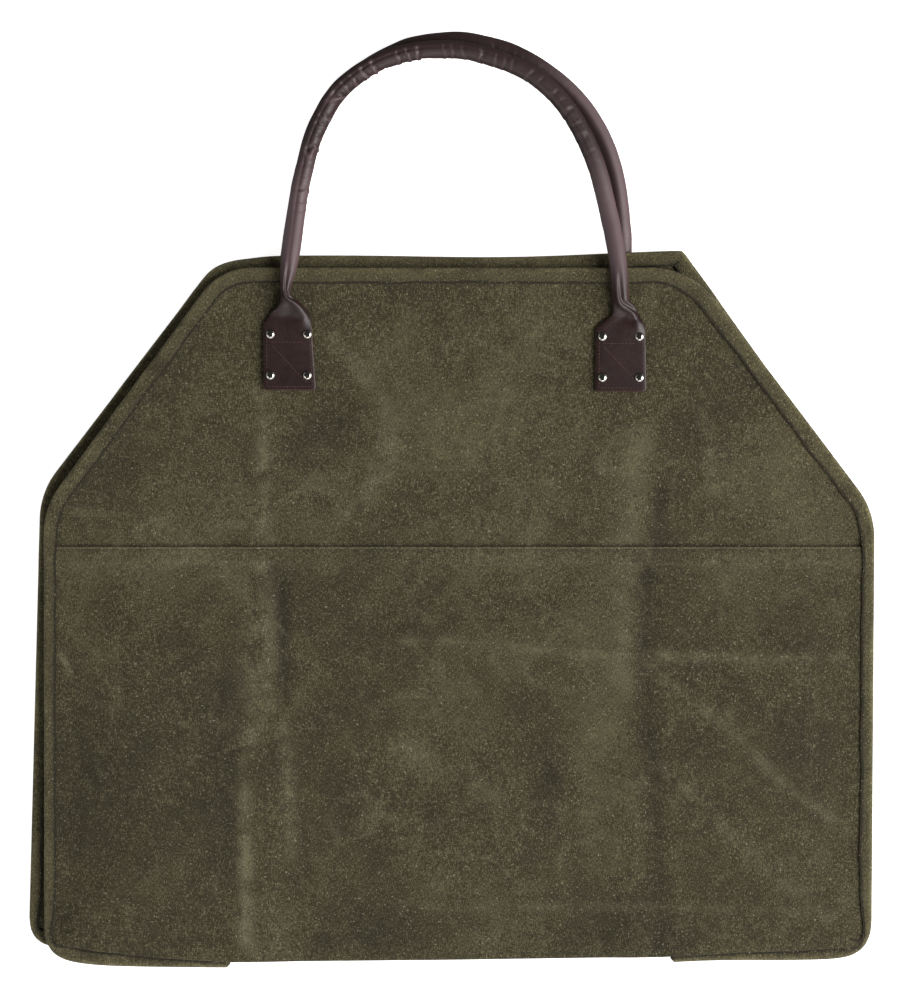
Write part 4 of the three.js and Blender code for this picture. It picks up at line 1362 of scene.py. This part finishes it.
def back_slack(y: Array) -> Array:
    """Room left in the back tape where the panel lifts off the ground."""
    return LAYERS.slack * ease(35.0, 60.0, y)


def back_tape_top(x: Array, y: Array) -> Array:
    """Underside of the back tape's upper flange."""
    layers = 1.0 + LAYERS.lap_at(y) + LAYERS.gusset_bound(y)
    return LAYERS.back(x, y) + LAYERS.layer * layers + back_slack(y)


def back_tape_bottom(x: Array, y: Array) -> Array:
    """Upper face of the back tape's lower flange."""
    under = LAYERS.back(x, y)
    return under - LAYERS.gap - np.minimum(back_slack(y), np.maximum(0.0, under - LAYERS.inset))


LEFT_LIP = ((-146.6, -309.2), (-180.0, -308.9), (-212.0, -308.4), (-232.0, -307.6), (-246.5, -306.0),
            (-256.0, -303.6), (-263.0, -299.4), (-267.0, -293.5), (-268.8, -286.0), (-269.0, -278.0))
RIGHT_LIP = ((145.2, -305.6), (177.2, -304.4), (223.4, -304.2), (248.0, -303.6), (260.0, -302.2),
             (267.5, -299.4), (273.0, -294.6), (276.2, -287.5), (277.2, -282.0), (277.5, -278.0))


@dataclass
class Bindings:
    """All four tapes: the front edge with the two lips that run on below the fold, and the back edge."""

    front_start: float = -276.0
    step: float = 3.0
    stitch_inset: float = 0.72
    lip_top_y: float = -288.0

    def lip_share(self, y: Array) -> Array:
        """1 along the lip, easing to 0 where it has turned up into the side."""
        return 1.0 - ease(-297.0, -286.0, y)

    def front_top(self, x: Array, y: Array) -> Array:
        """Underside of the front tape's upper flange, easing down to the lips round the corners."""
        share = self.lip_share(y)
        side = front_tape_top(x, np.maximum(y, self.lip_top_y))
        return LAYERS.level(7) * share + (1.0 - share) * side

    def front_bottom(self, x: Array, y: Array) -> Array:
        """Upper face of the front tape's lower flange."""
        share = self.lip_share(y)
        side = front_tape_bottom(x, np.maximum(y, self.lip_top_y))
        return (LAYERS.level(2) + LAYERS.cloth) * share + (1.0 - share) * side

    def front_path(self) -> Array:
        """The front edge: along the left lip, round the corner, over the mouth and along the right lip."""
        edge = FRONT_OUTLINE.edge(self.front_start, self.step)
        return np.vstack([spline(LEFT_LIP, 2.0), edge, spline(RIGHT_LIP[::-1], 2.0)])

    def build(self) -> list[bpy.types.Object]:
        """Builds the tapes; the front one stands for the lips' tapes too."""
        front = Binding("front_tape", self.front_path(), self.front_top, self.front_bottom, 71)
        back = Binding("back_tape", back_edge(self.step), back_tape_top, back_tape_bottom, 81)
        tapes = [front.build("front_binding", "left_base_binding", "right_base_binding"),
                 back.build("back_binding")]
        sewn = Stitches("tape_stitches", Slot.TAPE, OLIVE_THREAD, radius=0.26)
        for tape, face in ((front, Face.FRONT), (back, Face.FRONT), (back, Face.BACK)):
            sewn.row(resample(tape.stitch_line(self.stitch_inset, face), 1.0))
        return [*tapes, sewn.build()]


# Handles


@dataclass(frozen=True)
class NeckRow:
    """The tab's outline at one height above its bottom: left and right edge from the tab's middle."""

    rise: float
    left: float
    right: float


@dataclass(frozen=True)
class Span:
    """A stretch of a handle, as heights above its tab's bottom, over which something sets in."""

    start: float
    end: float

    def share(self, rise: Array) -> Array:
        """0 before the stretch and 1 after it, by a smoothstep."""
        return ease(self.start, self.end, rise)


@dataclass(frozen=True)
class Tab:
    """A riveted tab: the middle of its bottom edge, its outline up the neck and where the neck kinks."""

    x: float
    y: float
    rows: tuple[NeckRow, ...]
    kink: float = 61.0
    corner: float = 1.6

    def edges(self, rise: Array) -> tuple[Array, Array]:
        """Left and right edge at each height above the tab's bottom, its corners rounded."""
        at = [row.rise for row in self.rows]
        left = np.interp(rise, at, [row.left for row in self.rows])
        right = np.interp(rise, at, [row.right for row in self.rows])
        drop = np.clip(self.corner - rise, 0.0, self.corner)
        cut = self.corner - np.sqrt(np.maximum(self.corner ** 2 - drop ** 2, 0.0))
        return self.x + left + cut, self.x + right - cut


LEFT_NECK = (
    NeckRow(0, -16.6, 17.9), NeckRow(23, -16.8, 16.2), NeckRow(43.8, -16.8, 15.0), NeckRow(47.6, -13.9, 14.1),
    NeckRow(53.2, -10.2, 11.2), NeckRow(56.9, -7.6, 6.5), NeckRow(61.2, -5.3, 1.6), NeckRow(66, -5.6, 0.9),
    NeckRow(71.1, -5.7, 2.6), NeckRow(77.7, -5.9, 4.6), NeckRow(85.2, -5.9, 5.6), NeckRow(95, -5.2, 6.7),
)
RIGHT_NECK = (
    NeckRow(0, -16.8, 16.8), NeckRow(42, -16.5, 16.2), NeckRow(47, -10.0, 14.2), NeckRow(50, -5.9, 12.2),
    NeckRow(54, -5.6, 9.5), NeckRow(58, -5.6, 5.6), NeckRow(62, -5.9, 5.3), NeckRow(70, -6.3, 5.0),
    NeckRow(80, -7.0, 4.3), NeckRow(95, -8.0, 3.4),
)
BACK_LEFT_NECK = (
    NeckRow(0, -17, 17), NeckRow(42, -17, 17), NeckRow(50, -9, 8.6), NeckRow(58, -6.2, 5.4),
    NeckRow(95, -5.4, 6.8),
)
BACK_RIGHT_NECK = (
    NeckRow(0, -17, 17), NeckRow(42, -17, 17), NeckRow(50, -8.6, 9.0), NeckRow(58, -5.6, 6.2),
    NeckRow(95, -5.6, 6.4),
)
FRONT_ARCH = (
    (-105.3, 164.8), (-100.7, 200), (-96.5, 220), (-89.6, 243.6), (-75.6, 268.4), (-56.0, 284.2),
    (-33.5, 293.6), (-9.6, 296.8), (14.9, 294.9), (43.2, 285.6), (62.4, 273.1), (79.5, 253.3),
    (94.7, 222.3), (104.6, 184), (109.6, 156),
)
FRONT_GATHERS = (
    (-106, 0.0), (-96, 1.7), (-55, 1.6), (-15, 0.9), (20, 0.6), (45, 0.25), (90, 0.4), (106, 0.0),
)
BACK_ARCH = (
    (-106.2, 168), (-101.2, 200), (-97, 220), (-90, 243.4), (-76, 268), (-56, 285.4), (-33.5, 297.4),
    (-17.7, 301.8), (3.6, 303.7), (19.5, 301.6), (40.9, 295.2), (59, 285.2), (76.6, 271.4), (91, 254.5),
    (102.3, 233.2), (109.2, 209.2), (112.4, 183.4), (113.3, 168),
)
BACK_GATHERS = ((-106, 0.0), (0, 0.25), (106, 0.0))
NECK_SWING = (
    (-25, 0.5), (-19, 0.55), (-14, 0.62), (-10, 0.66), (-4, 0.5), (0, -0.05), (5, -0.4), (10, -0.45),
)


@dataclass
class Handle:
    """A strip of leather with flat tabs at its ends, rolled into a round grip between them."""

    face: Face
    left: Tab
    right: Tab
    arch: Sequence[Point]
    gathers: Sequence[Point]
    tab_z: float
    neck_z: float
    arch_z: float
    neck_wall: float
    sheen_and_wear_to: float
    tab_wall: float = 3.0
    roll: float = 12.0
    around: int = 40
    step: float = 1.1
    neck_rise: float = 66.0
    outline_top: float = 95.0
    squareness: float = 0.28
    pucker_pitch: float = 9.5
    bends: Span = Span(44.0, 62.0)
    softens: Span = Span(40.0, 60.0)
    thickens: Span = Span(46.0, 60.0)
    lifts: Span = Span(47.0, 62.0)
    rounds: Span = Span(60.0, 100.0)
    settles: Span = Span(66.0, 130.0)
    evens: Span = Span(85.0, 110.0)
    shines_and_wears: Span = Span(52.0, 95.0)
    puckered: Span = Span(105.0, 125.0)

    def tab_stations(self, tab: Tab) -> tuple[Array, Array, Array]:
        """Centre, half width and rise of the stations from a tab's bottom up its neck."""
        rise = np.concatenate([[0.0, 0.25, 0.6, 1.1, 1.8, 2.5], np.arange(3.2, self.neck_rise, self.step)])
        left, right = tab.edges(rise)
        centre = np.stack([(left + right) / 2, tab.y + rise], axis=1)
        return centre, (right - left) / 2, rise

    def stations(self) -> tuple[Array, Array, Array]:
        """Stations of the whole strip, from the left tab's bottom to the right tab's bottom.

        Returns:
            Centre line, half width and rise above the nearer tab's bottom.
        """
        left_centre, left_half, left_rise = self.tab_stations(self.left)
        right_centre, right_half, right_rise = self.tab_stations(self.right)
        arch = spline(np.vstack([left_centre[-1], self.arch, right_centre[-1]]), self.step)[1:-1]
        run = lengths_along(np.vstack([left_centre[-1], arch, right_centre[-1]]))[1:-1]
        from_left = self.neck_rise + run
        from_right = self.neck_rise + run[-1] + run[0] - run
        near_left = self.neck_half(self.left, from_left)
        near_right = self.neck_half(self.right, from_right)
        arch_half = np.where(from_left < from_right, near_left, near_right)
        centre = np.vstack([left_centre, arch, right_centre[::-1]])
        half = np.concatenate([left_half, arch_half, right_half[::-1]])
        rise = np.concatenate([left_rise, np.minimum(from_left, from_right), right_rise[::-1]])
        return centre, blurred(half, 2), rise

    def neck_half(self, tab: Tab, rise: Array) -> Array:
        """Half width above the neck, easing to the round roll."""
        left, right = tab.edges(np.minimum(rise, self.outline_top))
        share = self.evens.share(rise)
        return (right - left) / 2 * (1.0 - share) + self.roll / 2 * share

    def sideways(self, centre: Array, rise: Array) -> Array:
        """Unit directions across the strip, level on the tabs and square to its path above them."""
        along = tangents(centre)
        on_tab = (1.0 - self.bends.share(rise))[:, None]
        steady = np.stack([np.zeros(len(rise)), np.sign(along[:, 1])], axis=1)
        along = np.where(on_tab > 0.0, steady * on_tab + along * (1.0 - on_tab), along)
        along = along / np.linalg.norm(along, axis=1, keepdims=True)
        return np.stack([along[:, 1], -along[:, 0]], axis=1)

    def build(self) -> bpy.types.Object:
        """Sweeps a superellipse along the strip: flat on the tabs, round on the roll, pinched between."""
        centre, half, rise = self.stations()
        sideways = self.sideways(centre, rise)
        wall = self.tab_wall + (self.neck_wall - self.tab_wall) * self.thickens.share(rise)
        wall = wall + (self.roll - self.neck_wall) * self.rounds.share(rise)
        height = self.tab_z + (self.neck_z - self.tab_z) * self.lifts.share(rise)
        height = height + (self.arch_z - self.neck_z) * self.settles.share(rise)
        height = np.maximum(height, wall / 2 + 0.2)
        angle = np.linspace(0.0, 2.0 * math.pi, self.around, endpoint=False)
        power = (self.squareness + (1.0 - self.squareness) * self.softens.share(rise))[:, None]
        cosine = np.cos(angle)[None, :]
        sine = np.sin(angle)[None, :]
        out = np.sign(cosine) * np.abs(cosine) ** power
        lift = np.sign(sine) * np.abs(sine) ** power
        pucker, ridge_sheen_and_wear = self.puckers(lengths_along(centre), rise, centre[:, 0], angle)
        swell = 1.0 + pucker / (self.roll / 2)
        radius = half[:, None] * swell
        tall = wall[:, None] / 2 * swell
        leg = np.where(np.arange(len(rise)) < len(rise) / 2, 1.0, -1.0)
        fold = self.neck_folds(rise, out, leg) * (1.0 if self.face is Face.FRONT else 0.4)
        x = centre[:, None, 0] + sideways[:, None, 0] * radius * out
        y = centre[:, None, 1] + sideways[:, None, 1] * radius * out
        z = height[:, None] + tall * lift + fold * (lift > 0)
        # Painted sheen, partly worn leather: greys the legs from the necks up and fades along the arch; on
        # the back handle the inner side is held dark as painted shade, and the pucker ridges add a painted
        # highlight.
        rub = self.shines_and_wears.share(rise) * (1.0 - 0.85 * ease(self.sheen_and_wear_to - 60.0, self.sheen_and_wear_to, rise))
        shaded = 0.8 * ease(-0.4, 0.3, out) if self.face is Face.BACK else 0.0
        rub = np.clip(rub[:, None] * (1.0 - shaded) + ridge_sheen_and_wear, 0.0, 1.0)
        stations = len(centre)
        shape = Shape().add(np.stack([x, y, z], axis=-1), grid_faces(stations, self.around, around=True),
                            cut=self.cut_edges(rise, out, leg), rub=rub)
        shape.faces += [tuple(range(self.around))[::-1],
                        tuple(range((stations - 1) * self.around, stations * self.around))]
        name = f"{self.face.value}_handle"
        made = shape.piece(f"{name}_leather", Slot.LEATHER, LEATHER)
        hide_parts(name)
        return made

    def puckers(self, run: Array, rise: Array, x: Array, angle: Array) -> tuple[Array, Array]:
        """Wrinkles across the roll, gathered on the inner side of the bend.

        Args:
            run: length along the strip.
            rise: length from the nearer tab.
            x: place across, which sets how far the leather is gathered.
            angle: places round the section, 0 on the inner side of the arch.

        Returns:
            Change of radius in millimetres, sharp ridges a pitch apart with a groove beside each, slanted
            and uneven, from a lengthwise step at the top round to the inner side; and a painted highlight,
            partly worn leather, on the ridges and along the step.
        """
        bend = self.puckered.share(rise) * np.interp(x, *np.transpose(self.gathers))
        still = np.zeros(len(run))
        stagger = Ripples(27, 9.0, 30.0).at(run[:, None], 6.0 * angle[None, :])
        slant = 1.1 * np.sin(angle)[None, :] + 1.3 * stagger
        turns = 2.0 * math.pi * run / self.pucker_pitch + 4.2 * Ripples(21, 20.0, 70.0).at(run, still)
        phase = turns[:, None] + slant
        depth = np.clip(0.8 + 0.6 * Ripples(25, 12.0, 40.0).at(run, still), 0.4, 1.1)
        ridge = (0.5 + 0.5 * np.cos(phase)) ** 9
        groove = (0.5 + 0.5 * np.cos(phase - 1.0)) ** 7
        facing = ease(-0.1, 0.5, np.cos(angle - 0.7))
        step = -0.7 * hump(np.mod(angle - 1.75 + math.pi, 2.0 * math.pi) - math.pi, 0.2)
        uneven = 0.14 * Ripples(23, 12.0, 40.0).at(run, still) * ease(70.0, 90.0, rise)
        crimp = depth[:, None] * facing[None, :] * bend[:, None]
        relief = crimp * (0.8 * ridge - 1.1 * groove) + bend[:, None] * step[None, :]
        # Painted highlight along the lengthwise step.
        edge = 0.35 * hump(angle - 1.45, 0.14)[None, :] * bend[:, None] * depth[:, None]
        return relief + uneven[:, None] * np.cos(2.0 * angle)[None, :], 0.42 * crimp * ridge + edge

    def neck_folds(self, rise: Array, out: Array, leg: Array) -> Array:
        """The fold that climbs out of the tab: a ridge from one shoulder over into the neck.

        Args:
            rise: height above the tab's bottom.
            out: place across the strip, 1 at the inner side of the arch.
            leg: 1 on the left leg and -1 on the right leg, so that leg * out grows to the right.

        Returns:
            Height in millimetres: a bell about a line that swings from the right shoulder to the neck's left.
        """
        from_kink = rise - np.where(leg > 0, self.left.kink, self.right.kink)
        line = np.interp(from_kink, *np.transpose(NECK_SWING))
        near = ease(-25.0, -11.0, from_kink) * (1.0 - ease(8.0, 30.0, from_kink))
        across = leg[:, None] * out - line[:, None]
        wide = (0.2 + 0.14 * (1.0 - ease(-11.0, 1.0, from_kink)))[:, None]
        ridge = hump(across, wide) - 0.7 * hump(across - 0.45, 0.2) - 0.45 * hump(across + 0.55, 0.25)
        lap = ease(5.0, 15.0, from_kink) * (1.0 - ease(50.0, 90.0, from_kink)) * (leg > 0)
        groove = -0.5 * hump(leg[:, None] * out + 0.15, 0.1) * lap[:, None]
        return 1.6 * near[:, None] * ridge + groove

    def cut_edges(self, rise: Array, out: Array, leg: Array) -> Array:
        """Share of raw cut edge: round the tab's rim and along the lap on the right of each leg."""
        rim = 0.7 * ease(0.97, 1.0, np.abs(out)) * (1.0 - ease(40.0, 52.0, rise))[:, None]
        end = 0.7 * (1.0 - ease(0.1, 0.5, rise))[:, None] * np.ones_like(out)
        above_tab = ease(50.0, 60.0, rise) * (1.0 - ease(120.0, 190.0, rise))
        lap = 0.35 * hump(leg[:, None] * out - 0.93, 0.08) * above_tab[:, None]
        return np.clip(np.maximum(np.maximum(rim, end), lap), 0.0, 1.0)


# Stitches


@dataclass
class Stitches:
    """Rows of machine stitches in one piece: each stitch a capsule of thread half sunk in its dent."""

    name: str
    slot: Slot
    thread: BondedThread
    radius: float = 0.3
    pitch: float = 3.4
    share: float = 0.72
    rings: int = 6
    around: int = 6
    shape: Shape = field(default_factory=Shape)

    def row(self, line: Array) -> None:
        """Adds a row of stitches, a capsule from each stitch's start to its end.

        Args:
            line: polyline in millimetres at the top of the cloth or leather.
        """
        run = lengths_along(line)
        length = self.pitch * self.share
        starts = np.arange(0.2, max(run[-1] - length, 0.3), self.pitch)
        span = starts[:, None] + length * np.linspace(0.0, 1.0, self.rings)[None, :]
        middle = np.stack([np.interp(span, run, line[:, k]) for k in range(3)], axis=-1)
        along = middle[:, -1] - middle[:, 0]
        along = along / np.maximum(np.linalg.norm(along, axis=1, keepdims=True), 1e-9)
        across = np.stack([-along[:, 1], along[:, 0], np.zeros(len(along))], axis=1)
        swell = np.sqrt(np.clip(1.0 - np.linspace(-1.0, 1.0, self.rings) ** 4, 0.02, 1.0)) * self.radius
        angle = np.linspace(0.0, 2.0 * math.pi, self.around, endpoint=False)
        aside = np.outer(swell, np.cos(angle))[None, :, :, None]
        rise = np.outer(swell, np.sin(angle))[None, :, :, None]
        up = np.array([0.0, 0.0, 1.0])
        points = middle[:, :, None, :] + (across[:, None, None, :] * aside + up * rise)
        tube = grid_faces(self.rings, self.around, around=True)
        size = self.rings * self.around
        faces = (tube[None] + size * np.arange(len(starts))[:, None, None]).reshape(-1, 4)
        self.shape.add(points, faces)

    def build(self) -> bpy.types.Object:
        """Makes the piece."""
        return self.shape.piece(self.name, self.slot, self.thread)


@dataclass
class CrossSeam:
    """The stitch row that holds the lower panel to the upper one, just below its folded edge, drawn
    near-black as painted shade of its needle holes.
    """

    below: float = 1.9
    places: int = 400
    front_ends: Point = (-257.0, 266.0)
    back_ends: Point = (-262.0, 262.0)
    sunk: float = 0.28
    behind: float = 0.22

    def build(self) -> bpy.types.Object:
        """Sews the row across the front and the same row across the back."""
        # Dark capsules here stand for painted shade of the needle holes.
        sewn = Stitches("seam_stitches_hole_shade", Slot.CANVAS, HOLE_SHADE_THREAD, radius=0.24, pitch=3.0, share=0.45)
        y = np.full(self.places, LAYERS.seam_y - self.below)
        x = np.linspace(*self.front_ends, self.places)
        top = FRONT.height(x, y) + LAYERS.layer * LAYERS.lap_at(y) + LAYERS.cloth - self.sunk
        sewn.row(np.column_stack([x, y, top]))
        back_x = np.linspace(*self.back_ends, self.places)
        sewn.row(np.column_stack([back_x, y, LAYERS.back(back_x, y) + self.behind]))
        return sewn.build()


@dataclass
class TabStitches:
    """Stitching of a handle's tabs: a border 2 mm inside the edge, a row under the neck and a diagonal."""

    handle: Handle
    inset: float = 2.2
    border_half: float = 14.6
    border_top: float = 40.0
    row: tuple[Point, Point] = ((-12.0, 31.5), (11.0, 31.5))
    diagonal: tuple[Point, Point] = ((-11.0, 29.0), (12.5, 4.0))
    proud: float = 0.02

    def build(self) -> bpy.types.Object:
        """Sews both tabs of the handle."""
        face = self.handle.face
        sewn = Stitches(
            f"{face.value}_tab_stitches", Slot.LEATHER, BROWN_THREAD, radius=0.2, pitch=2.4, share=0.7)
        outside = 1.0 if face is Face.FRONT else -1.0
        z = self.handle.tab_z + outside * (self.handle.tab_wall / 2 + self.proud)
        for tab in (self.handle.left, self.handle.right):
            rise = np.linspace(self.inset + 1.5, self.border_top, 30)
            left, right = tab.edges(rise)
            border = np.vstack([
                np.column_stack([left + self.inset, tab.y + rise])[::-1],
                [tab.x - self.border_half, tab.y + self.inset],
                [tab.x + self.border_half, tab.y + self.inset],
                np.column_stack([right - self.inset, tab.y + rise])])
            corner = np.array([tab.x, tab.y])
            for line in (border, corner + self.row, corner + self.diagonal):
                dense = resample(line, 0.6)
                sewn.row(np.column_stack([dense, np.full(len(dense), z)]))
        return sewn.build()


# Rivets


RIVET_PROFILE = (
    (0.0, 0.0), (0.45, 0.0), (0.78, 0.01), (0.82, 0.05), (0.8, 0.11), (0.42, 0.12), (0.42, 0.77),
    (0.9, 0.78), (0.98, 0.795), (1.0, 0.82), (0.985, 0.85), (0.93, 0.89), (0.83, 0.93),
    (0.68, 0.965), (0.48, 0.988), (0.25, 0.998), (0.0, 1.0),
)


@dataclass
class Rivets:
    """The eight rivets of one handle, lathed domes on their caps and flat burrs at the other end."""

    face: Face
    count: int = 8
    steps: int = 28

    def lathe(self, low: Array, high: Array, up: float) -> Array:
        """Turns the profile of radius and height, shares of the rivet's box, about its upright middle."""
        radius, height = np.transpose(RIVET_PROFILE)[:, :, None]
        angle = np.linspace(0.0, 2.0 * math.pi, self.steps, endpoint=False)[None, :]
        middle = (low + high) / 2
        half = (high[0] - low[0]) / 2
        x = middle[0] + half * radius * np.cos(angle)
        y = middle[1] + half * radius * np.sin(angle)
        z = middle[2] + up * (height - 0.5) * (high[2] - low[2])
        return np.stack([x, y, np.broadcast_to(z, x.shape)], axis=-1)

    def build(self) -> bpy.types.Object:
        """Builds the eight rivets in their CAD boxes as one piece."""
        shape = Shape()
        names = [f"{self.face.value}_rivet_{k}" for k in range(1, self.count + 1)]
        up = 1.0 if self.face is Face.FRONT else -1.0
        for name in names:
            low, high = (np.array(corner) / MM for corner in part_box(name))
            points = self.lathe(low, high, up)
            shape.add(points, grid_faces(len(RIVET_PROFILE), self.steps, around=True))
        if up < 0:
            shape.flipped()
        made = shape.piece(f"{self.face.value}_rivets", Slot.NICKEL, NICKEL)
        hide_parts(*names)
        return made


# Studio


@dataclass(frozen=True)
class Lamp:
    """A softbox that faces the middle of the carrier."""

    name: str
    place: tuple[float, float, float]
    width: float
    height: float
    power: float
    aim: tuple[float, float, float] = (0.0, 0.0, 0.0)

    def build(self) -> bpy.types.Object:
        """Makes the area light, its axis turned to its aim."""
        light = bpy.data.lights.new(self.name, "AREA")
        light.shape = "RECTANGLE"
        light.size = self.width
        light.size_y = self.height
        light.energy = self.power
        made = bpy.data.objects.new(self.name, light)
        bpy.context.scene.collection.objects.link(made)
        made.location = self.place
        towards = Vector(self.aim) - Vector(self.place)
        made.rotation_euler = towards.to_track_quat("-Z", "Y").to_euler()
        return made


@dataclass
class Studio:
    """White ground, lights from the sides and a camera straight above."""

    lamps: tuple[Lamp, ...] = (
        Lamp("key", (2.5, -0.3, 2.4), 2.2, 2.4, 130.0),
        Lamp("front", (0.5, -2.3, 2.3), 2.2, 1.2, 18.0),
        Lamp("fill", (-1.5, -0.9, 1.6), 1.2, 1.2, 6.0),
    )
    zenith: float = 0.03
    horizon: float = 1.0
    lens: float = 180.0
    height: float = 3.312

    def build(self) -> None:
        """Lays the ground, hangs the lamps and sets the camera up."""
        bpy.ops.mesh.primitive_plane_add(size=8.0, location=(0.0, 0.0, -0.0006))
        floor = bpy.context.object
        floor.name = "ground"
        floor.data.materials.append(PAPER.material())
        floor.visible_glossy = False
        for lamp in self.lamps:
            lamp.build()
        scene = bpy.context.scene
        sky = scene.world or bpy.data.worlds.new("studio air")
        scene.world = sky
        sky.use_nodes = True
        self.light_sky(sky.node_tree)
        lens = bpy.data.cameras.new("main view")
        lens.lens = self.lens
        lens.sensor_width = 36.0
        lens.clip_end = 20.0
        camera = bpy.data.objects.new("main view", lens)
        scene.collection.objects.link(camera)
        camera.location = (0.0, 0.0, self.height)
        scene.camera = camera
        scene.view_settings.view_transform = "Standard"

    def light_sky(self, tree: bpy.types.NodeTree) -> None:
        """Lights the air by direction: dark overhead and towards the handles, white walls low elsewhere."""
        towards = add(tree, "ShaderNodeTexCoord", {}).outputs["Generated"]
        axes = add(tree, "ShaderNodeSeparateXYZ", {0: towards}).outputs
        wall: Any = 1.0
        for axis, start, end, low, high in (
            ("Z", 0.62, 0.35, 0.0, 1.0),
            ("Y", 0.75, 0.45, 0.0, 1.0),
            ("Z", 0.0, 0.15, 0.0, 1.0),
            ("X", -0.6, 0.3, 0.45, 1.0),
            ("Y", -0.1, -0.8, 1.0, 1.5),
        ):
            share = add(tree, "ShaderNodeMapRange", {
                "Value": axes[axis], "From Min": start, "From Max": end,
                "To Min": low, "To Max": high}).outputs[0]
            wall = add(tree, "ShaderNodeMath", {0: wall, 1: share}, operation="MULTIPLY").outputs[0]
        level = add(tree, "ShaderNodeMapRange", {
            "Value": wall, "To Min": self.zenith, "To Max": self.horizon}, clamp=False).outputs[0]
        tree.links.new(level, tree.nodes["Background"].inputs["Strength"])
        tree.nodes["Background"].inputs["Color"].default_value = linear("#ffffff")


# Assembly


def main() -> None:
    """Builds the carrier from the ground up and logs each piece."""
    logging.basicConfig(level=logging.INFO, format="%(message)s")
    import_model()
    tapes = Bindings().build()
    upper = Cut(546.0, 190.0, 0.088)
    panels = [UpperPanel(face, upper) for face in Face]
    for panel in panels:
        panel.cut.lay(panel.build(), "laid", tapes)
    wrap = LowerWrap(Cut(547.0, 790.0, 0.425))
    wrap.cut.lay(wrap.build(), "folded", tapes)
    for side in Side:
        gusset = EndGusset(side, Cut(280.0, 345.0, 0.095))
        gusset.cut.lay(gusset.build(), "folded", tapes)
    CrossSeam().build()
    front_handle = Handle(
        Face.FRONT, Tab(-107.0, 72.4, LEFT_NECK), Tab(111.5, 71.5, RIGHT_NECK, kink=55.5),
        FRONT_ARCH, FRONT_GATHERS, tab_z=21.45, neck_z=24.8, arch_z=18.6, neck_wall=9.0, sheen_and_wear_to=175.0)
    back_handle = Handle(
        Face.BACK, Tab(-109.0, 82.0, BACK_LEFT_NECK), Tab(112.5, 83.0, BACK_RIGHT_NECK),
        BACK_ARCH, BACK_GATHERS, tab_z=3.25, neck_z=3.5, arch_z=6.3, neck_wall=6.0, sheen_and_wear_to=240.0)
    for handle in (front_handle, back_handle):
        handle.build()
        TabStitches(handle).build()
    for face in Face:
        Rivets(face).build()
    Studio().build()


if __name__ == "__main__":
    main()
